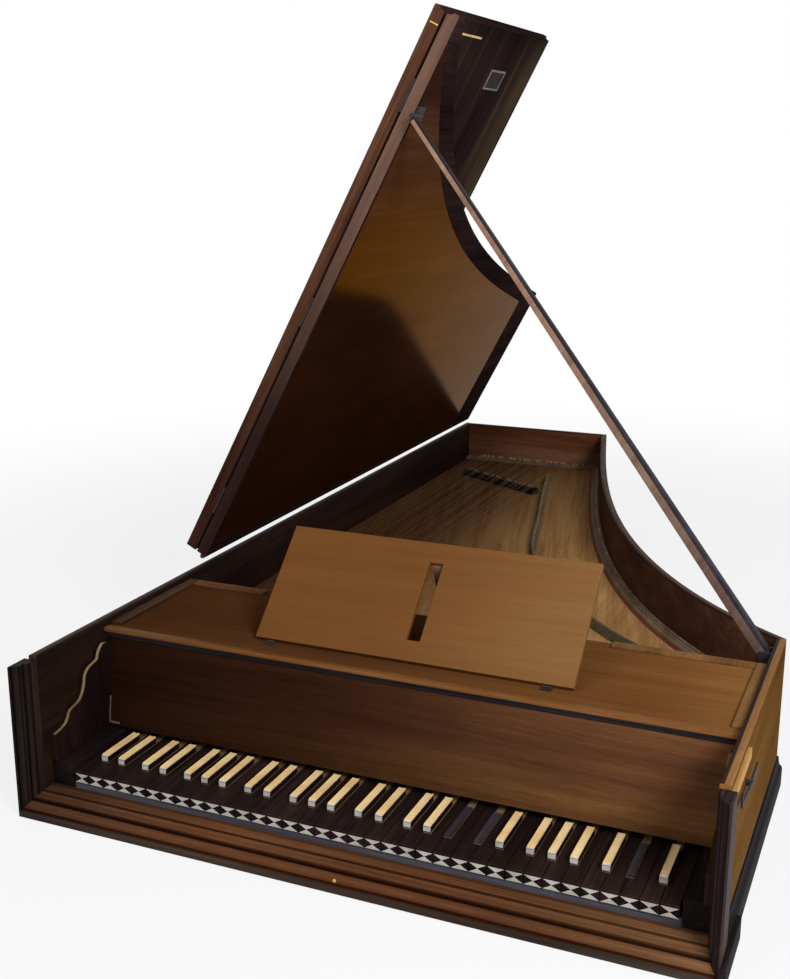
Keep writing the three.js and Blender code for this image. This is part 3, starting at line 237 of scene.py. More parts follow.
def wood(name, dark, middle, light, turn=ALONG, rough=0.5, metal=0.0, gloss=0.1, bump=0.25, seed=0,
         figure=0.8, fade=(), bands=(), tint=(1, 1, 1), uneven=1.0, dull=()):
    """Planed and varnished wood: broad figure, streaks, fibre and pores along the grain.

    A fade multiplies the colour by its gain from start to end along an axis, and past the end. A band does
    so between start and end only, and counts Y from the case's front. Fades and bands paint light and shade.
    Dull changes metal between two heights, darkening the surface there as painted shade.
    """
    s = Shader(name, Metallic=metal, Specular_IOR_Level=gloss, Specular_Tint=(*tint, 1))
    at = s.coords(turn, [seed * step for step in SEED_STEP])
    drift = s.noise(s.vector("MULTIPLY", at, DRIFT_SCALE), out="Color")
    drift = s.vector("MULTIPLY", s.vector("SUBTRACT", drift, (0.5, 0.5, 0.5)), DRIFT_REACH)
    at = s.vector("ADD", at, drift)
    layer = {}
    value = 0
    for key, (scale, detail, mesh, share) in GRAIN.items():
        layer[key] = s.noise(s.vector("MULTIPLY", at, scale), 1, detail, mesh)
        part = s.calc("MULTIPLY", s.calc("SUBTRACT", layer[key], 0.5), share * figure)
        value = s.calc("ADD", value, part)
    value = s.calc("ADD", value, 0.5, clamp=True)
    colour = s.ramp(value, [(0.22, tone(*dark)), (0.5, tone(*middle)), (0.78, tone(*light))])
    pores = s.span(s.noise(s.vector("MULTIPLY", at, PORE_SCALE), detail=1), 0.58, 0.72, 0, PORE_SHARE)
    colour = s.mix(pores, colour, s.mix(0.5, colour, tone(*dark)))
    place = s.axes()
    for axis, start, end, factor in fade:
        colour = s.gain(s.span(place[axis], start / METRE, end / METRE, 0, 1), colour, factor)
    for axis, start, end, factor in bands:
        zero = LENGTH / 2 if axis == Y else 0
        low, high = start - zero, end - zero
        rise = s.span(place[axis], (low - BAND_EDGE) / METRE, (low + BAND_EDGE) / METRE, 0, 1)
        fall = s.span(place[axis], (high - BAND_EDGE) / METRE, (high + BAND_EDGE) / METRE, 1, 0)
        colour = s.gain(s.calc("MULTIPLY", rise, fall), colour, factor)
    if dull:
        low, high, left = dull
        s.feed("Metallic", s.span(place[Z], low / METRE, high / METRE, metal, left))
    s.feed("Base Color", colour)
    s.feed("Roughness", s.span(layer["streak"], 0.3, 0.7, rough - 0.06 * uneven, rough + 0.07 * uneven))
    s.bump(s.calc("ADD", s.calc("MULTIPLY", layer["fibre"], 0.7), s.calc("MULTIPLY", pores, -0.8)), bump)
    return s.mat


def metal(name, colour, dull, rough, shine, patina=0.5):
    """Worked metal: fine scratches and darker patches where it has tarnished."""
    s = Shader(name, Metallic=shine)
    at = s.coords()
    patch = s.noise(at, 90, 4, 0.6)
    scratch = s.noise(s.vector("MULTIPLY", at, (300, 2500, 900)), 1, 2, 0.6)
    s.feed("Base Color", s.mix(s.span(patch, 0.4, 0.7, 0, patina), tone(*colour), tone(*dull)))
    s.feed("Roughness", s.span(scratch, 0.3, 0.7, rough - 0.08, rough + 0.12))
    s.bump(scratch, 0.2, 0.0001)
    return s.mat


def ivory(name, pale, cream):
    """Bone or ivory: faint long lines, yellowed in patches."""
    s = Shader(name, Specular_IOR_Level=0.4)
    at = s.coords()
    lines = s.noise(s.vector("MULTIPLY", at, (900, 30, 900)))
    patch = s.noise(at, 26, 3, 0.6)
    colour = s.mix(s.span(patch, 0.35, 0.7, 0, 0.8), tone(*pale), tone(*cream))
    colour = s.mix(s.span(lines, 0.5, 0.75, 0, 0.25), colour, tone(*[c * 0.8 for c in cream]))
    s.feed("Base Color", colour)
    s.feed("Roughness", s.span(lines, 0.3, 0.7, 0.35, 0.45))
    s.bump(lines, 0.08, 0.0001)
    return s.mat


def felt(name, colour, shade):
    """Woven wool tape."""
    s = Shader(name, Roughness=0.95, Specular_IOR_Level=0.1)
    weave = s.noise(s.coords(), 1600, 3, 0.7)
    s.feed("Base Color", s.mix(s.span(weave, 0.35, 0.65, 0, 1), tone(*colour), tone(*shade)))
    s.bump(weave, 0.6)
    return s.mat


# Painted shade in the grooves and on the undersides of the sill's moulding: axis, start, end, factor
SILL_SHADE_BANDS = [(Y, 13, 18, (0.16, 0.13, 0.14)), (Y, 27.4, 31.6, (0.3, 0.27, 0.24)),
              (Z, -9, 9.0, (0.43, 0.75, 1.35)), (Z, 9.0, 11.8, (0.26, 0.16, 0.14)),
              (Y, 46, 60, (0.6, 0.55, 0.5))]
# Painted shade in the hollows of the posts' moulding, and painted highlights along the right one's edges
POST_SHADE_AND_HIGHLIGHTS = [(X, side * at - 0.7, side * at + 0.7, (0.3, 0.28, 0.3))
              for side in (-1, 1) for at in (466.0, 458.6, 452.6)]
POST_SHADE_AND_HIGHLIGHTS += [(X, 467.4, 472, (1.7, 1.75, 1.9)), (X, 453.8, 457.6, (1.35, 1.35, 1.4))]

# The woods' fades follow the uneven light of the photo
M = {
    "outside": wood("outside_walnut", (74, 47, 20), (107, 74, 38), (126, 92, 54), seed=1, gloss=0.0),
    "lid_outer": wood("lid_outer", (44, 28, 20), (66, 44, 32), (88, 62, 46), seed=37, gloss=0.03),
    "inside": wood("inside_walnut", (16, 10, 9), (30, 19, 15), (50, 33, 25), rough=0.45, gloss=0.015, seed=2,
                   fade=[(X, -300, 240, (2.0, 1.9, 1.9))]),
    "bent_inside": wood("bentside_inside", (56, 34, 24), (82, 52, 38), (110, 74, 55), gloss=0.01, seed=45),
    "tail_inside": wood("tail_walnut", (60, 33, 20), (98, 58, 38), (124, 82, 56), ACROSS, gloss=0.01, seed=33,
                        fade=[(X, -200, -440, (0.55, 0.5, 0.5)), (Z, 190, 150, (1.25, 1.55, 1.9))]),
    "rim": wood("rim_walnut", (42, 25, 17), (76, 47, 32), (104, 70, 50), gloss=0.03, seed=3,
                fade=[(X, 100, -440, (0.6, 0.58, 0.55))]),
    "rim_dark": wood("rim_inner", (18, 11, 10), (34, 21, 17), (52, 34, 28), gloss=0.03, seed=34),
    "post": wood("post_walnut", (16, 11, 10), (33, 25, 21), (56, 43, 36), UPRIGHT, gloss=0.03, seed=4,
                 fade=[(X, -300, 300, (1.9, 1.8, 2.15))], bands=POST_SHADE_AND_HIGHLIGHTS),
    "sill": wood("sill_walnut", (62, 36, 22), (98, 62, 39), (126, 86, 58), ACROSS, gloss=0.0, seed=5,
                 fade=[(X, 120, 440, (1.12, 1.28, 1.4)), (X, -180, -440, (0.6, 0.66, 0.8))],
                 bands=SILL_SHADE_BANDS),
    "base": wood("base_walnut", (24, 21, 22), (42, 38, 39), (70, 66, 67), gloss=0.005, seed=6,
                 fade=[(X, 200, 465, (0.72, 0.72, 0.76))]),
    "nameboard": wood("nameboard_walnut", (26, 13, 8), (48, 26, 15), (66, 40, 24), ACROSS, gloss=0.0,
                      seed=7, figure=0.6, fade=[(X, -160, 380, (4.2, 4.9, 4.6)),
                                                (X, -100, -440, (0.62, 0.6, 0.75)),
                                                (Z, 130, 78, (1.05, 1.13, 0.95))]),
    "cover": wood("cover_walnut", (60, 35, 20), (83, 51, 27), (104, 69, 38), ACROSS, 0.4, gloss=0.0, seed=8,
                  figure=0.45, fade=[(X, -200, 420, (2.3, 2.4, 2.0)), (X, -300, -450, (0.8, 0.75, 0.75)),
                                     (Y, -560, -480, (1.15, 1.15, 1.2)), (X, 330, 440, (1.22, 1.32, 1.4))]),
    # Cover border strips as shaded and lit copies of one wood: painted shade on the left, painted light on
    # the right
    "border": wood("cover_border", (58, 37, 22), (98, 66, 40), (136, 102, 68), ACROSS, gloss=0.03, seed=9),
    "border_shaded": wood("cover_border_dark", (44, 28, 20), (72, 47, 32), (98, 68, 48), gloss=0.03, seed=35),
    "border_lit": wood("cover_border_gold", (92, 60, 32), (134, 95, 54), (168, 128, 82), gloss=0.02,
                        seed=41),
    # The cheek's rim and strip are lighter, golden copies of the walnut: painted light
    "rim_lit": wood("cheek_rim", (96, 62, 34), (140, 98, 54), (176, 134, 84), gloss=0.02, seed=42),
    "strip_lit": wood("cheek_strip", (132, 92, 46), (176, 130, 68), (214, 172, 106), gloss=0.04, seed=43),
    "lip": wood("cover_lip", (82, 48, 21), (114, 72, 36), (142, 102, 62), ACROSS, gloss=0.03, seed=10,
                fade=[(X, 100, 440, (1.35, 1.5, 1.45)), (X, -100, -440, (0.75, 0.78, 0.9))]),
    "lip_dark": wood("cover_moulding", (24, 20, 22), (42, 36, 39), (66, 60, 62), ACROSS, gloss=0.04, seed=11),
    "desk": wood("desk_walnut", (96, 59, 28), (114, 74, 37), (130, 92, 52), ACROSS, 0.45, gloss=0.02, seed=12,
                 figure=0.35, fade=[(X, -60, 240, (1.3, 1.5, 1.9))]),
    "strut": wood("strut_walnut", (66, 46, 34), (112, 84, 62), (150, 120, 92), UPRIGHT, gloss=0.03, seed=13),
    "ebony": wood("ebony", (16, 11, 10), (36, 25, 23), (60, 44, 40), gloss=0.05, seed=14, figure=0.8),
    "lever_bare": wood("bare_lever", (34, 31, 34), (56, 52, 57), (82, 78, 84), gloss=0.02, seed=15),
    "lever": wood("lever_wood", (82, 64, 44), (122, 98, 70), (150, 124, 92), gloss=0.03, seed=16),
    "rail": wood("key_rail", (56, 54, 60), (82, 80, 88), (108, 106, 114), ACROSS, gloss=0.03, seed=17),
    "pine": wood("pine", (110, 80, 48), (148, 114, 74), (172, 140, 98), gloss=0.03, seed=18),
    "jack": wood("pear_wood", (86, 58, 40), (124, 88, 62), (150, 114, 84), UPRIGHT, gloss=0.04, seed=19),
    "board": wood("soundboard_spruce", (134, 94, 52), (182, 137, 84), (206, 164, 108), BOARD, gloss=0.0,
                  seed=20, figure=0.9, bump=0.3, fade=[(X, 30, -320, (0.22, 0.18, 0.22)),
                                                       (X, 0, 280, (1.22, 1.2, 1.25))]),
    "hitch": wood("hitch_rail", (84, 66, 54), (134, 112, 92), (166, 144, 122), gloss=0.03, seed=21,
                  fade=[(X, 0, -440, (0.45, 0.45, 0.5))]),
    "bridge": wood("bridge_wood", (72, 64, 50), (104, 93, 73), (132, 119, 95), gloss=0.02, seed=22),
    "bass": wood("stained_bridge", (12, 10, 9), (26, 20, 18), (46, 37, 34), gloss=0.04, seed=23),
    "block": wood("block_ebony", (14, 10, 11), (27, 18, 19), (50, 37, 37), gloss=0.04, seed=24),
    "scroll": wood("scroll_walnut", (15, 10, 10), (27, 17, 15), (46, 30, 26), UPRIGHT, gloss=0.03, seed=25,
                   fade=[(X, -200, 300, (2.6, 2.4, 2.2))]),
    # Painted highlights for the scrolls' lit edges, pale on the left and golden on the right; the golden one
    # has painted shade below
    "scroll_pale_highlight": wood("scroll_pale_highlight", (92, 72, 48), (138, 112, 78), (172, 144, 106), UPRIGHT, gloss=0.02,
                        seed=26),
    "scroll_gold_highlight": wood("scroll_gold_highlight", (104, 70, 30), (156, 112, 56), (190, 150, 88), UPRIGHT, gloss=0.02,
                        seed=38, fade=[(Z, 160, 142, (0.1, 0.1, 0.12))]),
    "line": wood("pale_line", (58, 54, 56), (96, 90, 88), (126, 120, 114), UPRIGHT, gloss=0.02, seed=39),
    # The lid panel's top is darker, by its fades and by less metal there: painted shade
    "panel": wood("lid_panel", (66, 39, 26), (86, 52, 33), (108, 69, 45), rough=0.13, metal=0.76, gloss=0.0,
                  seed=27, figure=0.6, bump=0.004, uneven=0.15, tint=(0.58, 0.49, 0.41), dull=(700, 900, 0.1),
                  fade=[(Z, 700, 860, (0.84, 0.86, 1.0)), (Z, 890, 960, (0.42, 0.45, 0.6))]),
    "flap_panel": wood("flap_panel", (66, 42, 26), (92, 61, 38), (114, 80, 52), LID_ACROSS, gloss=0.05,
                       seed=40),
    "lid_border": wood("lid_border", (22, 15, 15), (41, 29, 28), (62, 46, 42), gloss=0.0, seed=28),
    "lid_edge": wood("lid_edge", (76, 52, 42), (108, 80, 67), (132, 103, 88), LID_ACROSS, gloss=0.02, seed=29,
                     fade=[(Z, 900, 420, (0.17, 0.15, 0.17))]),
    "flap_edge": wood("flap_edge", (44, 25, 18), (84, 53, 38), (118, 82, 60), LID_ACROSS, gloss=0.02, seed=30,
                      fade=[(Z, 900, 360, (0.4, 0.33, 0.36))]),
    # The flap's outer face is darker than the lid's outer face of the same wood: painted shade
    "flap": wood("flap_walnut", (30, 20, 20), (50, 36, 34), (78, 59, 50), LID_ACROSS, gloss=0.0, seed=31,
                 figure=0.9, fade=[(Y, -60, 80, (1.5, 1.75, 1.3)), (Z, 1000, 1066, (0.55, 0.62, 0.65))]),
    "stick": wood("stick_walnut", (102, 72, 57), (146, 110, 90), (168, 136, 112), STICK_TURN, gloss=0.03,
                  seed=32, fade=[(X, 20, 440, (0.5, 0.56, 0.66))]),
    # Painted shade for the stick's dark side
    "stick_shaded_side": wood("stick_shaded_side", (22, 20, 24), (40, 38, 44), (62, 60, 68), STICK_TURN, gloss=0.04,
                       seed=36),
    "iron": metal("iron", (56, 52, 56), (28, 25, 27), 0.5, 0.6),
    "iron_dark": metal("iron_dark", (30, 26, 27), (18, 15, 16), 0.7, 0.15),
    "lock_rim": metal("lock_rim", (112, 104, 112), (70, 62, 68), 0.5, 0.7),
    "brass": metal("brass", (226, 184, 104), (150, 106, 52), 0.35, 0.8),
    "wire": metal("wire", (122, 98, 64), (66, 50, 34), 0.5, 0.6, 0.7),
    "cap": ivory("ivory", (252, 222, 164), (232, 188, 126)),
    "white": ivory("bone_inlay", (200, 196, 188), (166, 158, 144)),
    "red": felt("red_tape", (150, 72, 60), (108, 48, 42)),
    "lock_dark": wood("lock_dark", (22, 17, 18), (36, 28, 29), (56, 46, 46), gloss=0.02, seed=44),
}

# Geometry


def plain(point):
    return point


def turned(u, w, pivot, angle):
    """A point of a plane, turned about a pivot in that plane."""
    u, w = u - pivot[0], w - pivot[1]
    c, s = math.cos(angle), math.sin(angle)
    return pivot[0] + u * c - w * s, pivot[1] + u * s + w * c


def lid_open(point):
    x, d, z = point
    x, z = turned(x, z, LID_PIVOT, LID_ANGLE)
    return x, d, z


def flap_open(point):
    x, d, z = point
    fold_d, fold_z = FLAP_FOLD
    return lid_open((x, 2 * fold_d - d, 2 * fold_z - z))


def desk_open(point):
    x, d, z = point
    return x, *turned(d, z, DESK_PIVOT, DESK_ANGLE)


class Build:
    """Faces in millimetres with a material each, made into one object at the end."""

    def __init__(self, place=plain):
        self.place = place
        self.points = []
        self.faces = []
        self.kinds = []

    def face(self, points, kind=0):
        start = len(self.points)
        self.points += list(points)
        self.faces.append(list(range(start, len(self.points))))
        self.kinds.append(kind)

    def loft(self, rings, sides=0, ends=(0, 0)):
        """Join rings of points. Sides is one material or a list of them. An end that is None stays open."""
        count = len(rings[0])
        start = len(self.points)
        last = start + (len(rings) - 1) * count
        for ring in rings:
            self.points += list(ring)
        for low in range(start, last, count):
            for i in range(count):
                a, b = low + i, low + (i + 1) % count
                self.faces.append([a, b, b + count, a + count])
                self.kinds.append(sides[i] if isinstance(sides, list) else sides)
        for first, kind in ((start, ends[0]), (last, ends[1])):
            if kind is not None:
                self.faces.append(list(range(first, first + count)))
                self.kinds.append(kind)

    def upright(self, plan, z0, z1, sides=0, ends=(0, 0)):
        self.loft([[(x, d, z) for x, d in plan] for z in (z0, z1)], sides, ends)

    def box(self, x0, x1, d0, d1, z0, z1, kind=0):
        self.upright([(x0, d0), (x1, d0), (x1, d1), (x0, d1)], z0, z1, kind, (kind, kind))

    def across(self, outline, x0, x1, sides=0, ends=(0, 0)):
        self.loft([[(x, d, z) for d, z in outline] for x in (x0, x1)], sides, ends)

    def rod(self, start, end, radius, steps):
        a, b = Vector(start), Vector(end)
        line = (b - a).normalized()
        side = line.orthogonal().normalized()
        other = line.cross(side)
        rings = []
        for base in (a, b):
            ring = []
            for i in range(steps):
                t = 2 * math.pi * i / steps
                ring.append(tuple(base + side * (radius * math.cos(t)) + other * (radius * math.sin(t))))
            rings.append(ring)
        self.loft(rings)

    def made(self, name, kinds, body="case", replaces=(), bevel=0.0, smooth=40, slot=None):
        """The finished object. Bevel is a width in millimetres. Edges past the smooth angle stay sharp."""
        corners = []
        for x, d, z in map(self.place, self.points):
            corners.append((x / METRE, (d - LENGTH / 2) / METRE, z / METRE))
        mesh = bpy.data.meshes.new(name)
        mesh.from_pydata(corners, [], self.faces)
        for kind in kinds:
            mesh.materials.append(M[kind])
        mesh.polygons.foreach_set("material_index", self.kinds)
        work = bmesh.new()
        work.from_mesh(mesh)
        bmesh.ops.remove_doubles(work, verts=work.verts, dist=2e-6)
        bmesh.ops.recalc_face_normals(work, faces=work.faces)
        work.to_mesh(mesh)
        work.free()
        mesh.shade_smooth()
        mesh.set_sharp_from_angle(angle=math.radians(smooth))
        piece = bpy.data.objects.new(name, mesh)
        bpy.context.scene.collection.objects.link(piece)
        if bevel:
            cut = piece.modifiers.new("bevel", "BEVEL")
            cut.width = bevel / METRE
            cut.segments = 2
            cut.limit_method = "ANGLE"
            cut.angle_limit = math.radians(smooth)
            cut.harden_normals = True
        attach(piece, body)
        if replaces:
            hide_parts(*replaces)
        return piece


# Curve of the bentside: corners of its frame as shares of the way across and back
BEND = [Vector((HALF + (TAIL_X - HALF) * over, CHEEK + (LENGTH - CHEEK) * back))
        for over, back in ((0, 0), (0.5954, 0.2002), (0.7933, 0.6152), (1, 1))]


def bent_point(t, inset):
    """A point on the bentside's outside, moved in by the inset. Past its ends, the curve goes on straight."""
    held = min(max(t, 0), 1)
    p0, p1, p2, p3 = BEND
    q = 1 - held
    point = p0 * q ** 3 + p1 * 3 * q * q * held + p2 * 3 * q * held * held + p3 * held ** 3
    way = ((p1 - p0) * q * q + (p2 - p1) * 2 * q * held + (p3 - p2) * held * held).normalized()
    return point + Vector((-way.y, way.x)) * inset + way * ((t - held) * LENGTH)


def solve(goal, value):
    """Where a rising value meets its goal."""
    low, high = -1.0, 2.0
    for _ in range(50):
        middle = (low + high) / 2
        if value(middle) < goal:
            low = middle
        else:
            high = middle
    return (low + high) / 2


def bent_line(inset, steps=96, end=None):
    """The bentside's line at an inset, from the cheek's line to the end given, or to the tail's line."""
    first = solve(inset - HALF, lambda t: -bent_point(t, inset).x)
    last = solve(LENGTH - inset if end is None else end, lambda t: bent_point(t, inset).y)
    return [tuple(bent_point(first + (last - first) * i / steps, inset)) for i in range(steps + 1)]


def strip(build, profile, plan, sides=0, ends=(0, 0)):
    """A profile of insets and heights, drawn along a plan that depends on the inset."""
    lines = [[(x, d, z) for x, d in plan(inset)] for inset, z in profile]
    build.loft([list(ring) for ring in zip(*lines)], sides, ends)


def smooth_line(points, steps=5):
    """A smooth curve through the points."""
    line = []
    for i in range(len(points) - 1):
        p = [Vector(points[max(0, min(len(points) - 1, j))]) for j in (i - 1, i, i + 1, i + 2)]
        for k in range(steps):
            t = k / steps
            line.append(tuple(0.5 * (2 * p[1] + (p[2] - p[0]) * t
                                     + (2 * p[0] - 5 * p[1] + 4 * p[2] - p[3]) * t * t
                                     + (3 * p[1] - p[0] - 3 * p[2] + p[3]) * t ** 3)))
    return line + [tuple(points[-1])]


# Case walls: outside, rim, inside and the dark inner part of the rim
WALL_PROFILE = [(0, WALL_FOOT), (0, TOP - 1.6), (0.5, TOP - 0.5), (1.6, TOP), (WALL - 5, TOP),
                (WALL - 1.6, TOP), (WALL - 0.5, TOP - 0.5), (WALL, TOP - 1.6), (WALL, WALL_FOOT)]
WALL_SIDES = [0, 1, 1, 1, 3, 3, 3, 2, 2]
inner_line = bent_line(WALL)
cheek_slant = (CHEEK - inner_line[0][1]) / WALL
tail_slant = (inner_line[-1][0] - TAIL_X) / WALL


def spine_plan(inset):
    return [(inset - HALF, WALL_FRONT), (inset - HALF, LENGTH)]


def cheek_plan(inset):
    return [(HALF - inset, WALL_FRONT), (HALF - inset, CHEEK - 0.05 - inset * cheek_slant)]


def tail_plan(inset):
    return [(-INSIDE + 0.1, LENGTH - inset), (TAIL_X - 0.05 + inset * tail_slant, LENGTH - inset)]


# The cheek's rim takes the lighter, golden walnut, as painted light
for name, plan, front, rim, inside, smooth in (
        ("spine", spine_plan, 1, "rim", "inside", 40),
        ("cheek", cheek_plan, 1, "rim_lit", "inside", 40),
        ("bentside", bent_line, 0, "rim", "bent_inside", 25),
        ("tail", tail_plan, 0, "rim", "tail_inside", 40)):
    b = Build()
    strip(b, WALL_PROFILE, plan, WALL_SIDES, (front, 0))
    b.made("case_" + name, ["outside", rim, inside, "rim_dark"], replaces=[name], smooth=smooth)

# Base moulding and corner block
BASE_PROFILE = [(-0.3, 0), (-8, 0), (-8, 26.1), (-7.4, 28.5), (-6.9, 29.7), (-5.2, 31.8), (-4.2, 33.3),
                (-3.6, 35.4), (-2.9, 38.7), (-2.4, 45), (-0.3, 45)]


def base_plan(inset):
    left = [(inset - HALF, WALL_FRONT), (inset - HALF, LENGTH - inset)]
    return left + bent_line(inset)[::-1] + [(HALF - inset, WALL_FRONT)]


b = Build()
strip(b, BASE_PROFILE, base_plan)
b.made("case_base_moulding", ["base"], replaces=["base_moulding"], smooth=30)
b = Build()
b.upright([(470.3, -7), (476, -7), (476, 103), (463.3, 103), (463.3, WALL_FRONT), (470.3, WALL_FRONT)], 0, 30)
b.made("case_corner_block", ["base"], bevel=1.2)

# Nameboard's leaning face: D and height of its foot and of its head
BOARD_FOOT = (171, 69)
BOARD_HEAD = (191, 204.7)


def board_face(z):
    lean = BOARD_HEAD[0] - BOARD_FOOT[0]
    return BOARD_FOOT[0] + (z - BOARD_FOOT[1]) * lean / (BOARD_HEAD[1] - BOARD_FOOT[1])


# Scrolls on the keywell's sides, as shares of the way from the front to the nameboard and of the height
SCROLL = [(0, 0.3), (0.1, 0.315), (0.2, 0.35), (0.24, 0.4), (0.28, 0.46), (0.36, 0.485), (0.43, 0.505),
          (0.49, 0.56), (0.53, 0.66), (0.545, 0.75), (0.6, 0.815), (0.7, 0.845), (0.75, 0.865), (0.77, 0.93),
          (0.83, 1), (0.9, 0.995), (0.955, 0.967)]
SCROLL_FRONT, SCROLL_LOW, SCROLL_HIGH = 49.5, 66.3, 195

curl = []
for along, up in SCROLL:
    z = SCROLL_LOW + up * (SCROLL_HIGH - SCROLL_LOW)
    curl.append((SCROLL_FRONT + along * (board_face(z) - SCROLL_FRONT), z))
curl = smooth_line(curl)
ring = [(SCROLL_FRONT, SCROLL_LOW)] + curl
ring += [(board_face(z) - 0.3, z) for z in (curl[-1][1], SCROLL_LOW)]
edge = [0] + [1] * (len(curl) - 1) + [0, 0, 0]
# The inner part of each scroll's curved edge carries a painted highlight; the rest of the edge is dark
for side, word, edge_highlight in ((-1, "left", "scroll_pale_highlight"), (1, "right", "scroll_gold_highlight")):
    inner, middle, outer = side * (FITTED - 10), side * (FITTED - 5.6), side * FITTED
    b = Build()
    b.across(ring, inner, middle, edge, (0, None))
    b.across(ring, middle, outer, 0, (None, 0))
    b.made("keywell_scroll_" + word, ["scroll", edge_highlight], replaces=["scroll_" + word], smooth=30)

# Accidentals: how far each stands off the gap between its naturals, by its place in the octave,
# and the count of those whose ivory is gone
SHIFTS = {0: -2.5, 1: 3, 3: -4, 4: 0, 5: 4.5}
BARE = (16, 17, 23)
sharps = {}
for i in range(NATURALS - 1):
    shift = SHIFTS.get((i + 4) % 7)
    if shift is not None:
        sharps[i] = (KEYS_LEFT + (i + 1) * PITCH + shift, len(sharps) in BARE)

# Keys: materials of their faces, then D and heights
KEY_KINDS = ["ebony", "block", "white", "lever", "cap", "lever_bare"]
EBONY, BLOCK, WHITE, LEVER, CAP, BARE_LEVER = range(6)
HEAD_FRONT, HEAD_BACK, KEY_BACK = 53, 90, 393
ARCADE_FRONT, ARCADE_BACK, LEVER_FRONT = 53.3, 56, 100
ARCADE_LOW, LEVER_LOW, HEAD_LOW, WOOD_TOP, PLATE_LOW, PLATE_TOP = 38.5, 42, 45, 51.4, 51.5, 55
SHARP_FRONT, SHARP_BACK = 90.8, 168.8
SOFTENED = 0.7


def drawn_in(plan, inset, z):
    """The plan's outline at a height, drawn in on every side."""
    ring = []
    for n, (x, d) in enumerate(plan):
        (ax, ad), (cx, cd) = plan[n - 1], plan[(n + 1) % len(plan)]
        u = Vector((x - ax, d - ad)).normalized()
        v = Vector((cx - x, cd - d)).normalized()
        ring.append((x - (u.y + v.y) * inset, d + (u.x + v.x) * inset, z))
    return ring


def natural(b, i):
    left = KEYS_LEFT + i * PITCH + 0.4
    right = left + 22.2
    tail_l = sharps[i - 1][0] + 5.4 if i - 1 in sharps else left
    tail_r = sharps[i][0] - 5.4 if i in sharps else right
    plan = [(left, HEAD_FRONT), (right, HEAD_FRONT), (right, HEAD_BACK), (tail_r, HEAD_BACK),
            (tail_r, KEY_BACK), (tail_l, KEY_BACK), (tail_l, HEAD_BACK), (left, HEAD_BACK)]
    plan = [p for n, p in enumerate(plan) if math.dist(p, plan[n - 1]) > 0]
    b.loft([drawn_in(plan, 0, PLATE_LOW), drawn_in(plan, 0, PLATE_TOP - SOFTENED),
            drawn_in(plan, SOFTENED, PLATE_TOP)], EBONY, (EBONY, EBONY))
    b.box(tail_l, tail_r, LEVER_FRONT, KEY_BACK, LEVER_LOW, WOOD_TOP, LEVER)
    b.box(left + 0.2, right - 0.2, ARCADE_BACK, LEVER_FRONT, HEAD_LOW, WOOD_TOP, LEVER)
    # Front of the key: four inlaid triangles, dark and white in turn
    corners = [(left, ARCADE_LOW), (right, ARCADE_LOW), (right, WOOD_TOP), (left, WOOD_TOP)]
    middle = ((left + right) / 2, ARCADE_FRONT, (ARCADE_LOW + WOOD_TOP) / 2)
    front = [(x, ARCADE_FRONT, z) for x, z in corners]
    back = [(x, ARCADE_BACK, z) for x, z in corners]
    for n, kind in enumerate((WHITE, BLOCK, WHITE, BLOCK)):
        b.face([front[n], front[(n + 1) % 4], middle], kind)
    for n in range(4):
        m = (n + 1) % 4
        b.face([front[m], front[n], back[n], back[m]], BLOCK)
    b.face(back, BLOCK)
    for line in (66.5, 88.6):
        b.box(left + 0.3, right - 0.3, line, line + 0.6, PLATE_TOP - 0.1, PLATE_TOP + 0.02, BLOCK)


def sharp(b, at, bare):
    left, right = at - 5, at + 5
    b.box(left, right, LEVER_FRONT, KEY_BACK, LEVER_LOW, PLATE_TOP, LEVER)
    b.box(left, right, SHARP_FRONT, LEVER_FRONT, HEAD_LOW, PLATE_TOP, LEVER)
    if bare:
        b.box(left, right, SHARP_FRONT, SHARP_BACK, PLATE_TOP, 57.5, BARE_LEVER)
        return
    b.across([(91.2, PLATE_TOP), (168.3, PLATE_TOP), (168.3, 63), (91.2, 63)], left + 0.3, right - 0.3,
             BLOCK, (BLOCK, BLOCK))
    cap = [(SHARP_FRONT, 56.5), (93.6, 56.5), (93.6, 62.8), (SHARP_BACK, 62.8), (SHARP_BACK, 65.2), (168, 66),
           (94, 66), (92.4, 65.6), (91.3, 64.6)]
    low_cap = [(d, z - (SOFTENED if z > 64 else 0)) for d, z in cap]
    places = ((left + SOFTENED, cap), (left, low_cap), (right, low_cap), (right - SOFTENED, cap))
    b.loft([[(x, d, z) for d, z in line] for x, line in places], [CAP] * 7 + [WHITE] * 2, (CAP, CAP))


# Key bodies: their naturals and their accidentals, counted by the natural on the left
RUNS = {
    "keys_bass": (range(0, 17), range(0, 16)), "keys_treble": (range(20, NATURALS), range(20, NATURALS - 1)),
    "key_c": ([17], []), "key_d": ([18], []), "key_e": ([19], []),
    "key_c_sharp": ([], [17]), "key_d_sharp": ([], [18]),
}
for body, (whites, blacks) in RUNS.items():
    b = Build()
    for i in whites:
        natural(b, i)
    for i in blacks:
        if i in sharps:
            sharp(b, *sharps[i])
    b.made("fine_" + body, KEY_KINDS, body=body, replaces=[body], smooth=30, slot="ebony")

# Cover board: panel, light lip, dark moulding under it, and border strips
COVER_BACK = 415
LIP_PROFILE = [(184.5, 207.5), (184.5, 211.6), (185.6, 212.7), (187, 213), (195.6, 213), (196.4, 212.4),
               (196.4, 207.5)]
MOULDING_PROFILE = [(185.6, 207.3), (184.6, 206.6), (184.9, 205), (186, 203.4), (187.6, 202.6),
                    (187.4, 200.4), (188.4, 198.4), (189.8, 198), (190.1, 204), (191, 207.3)]
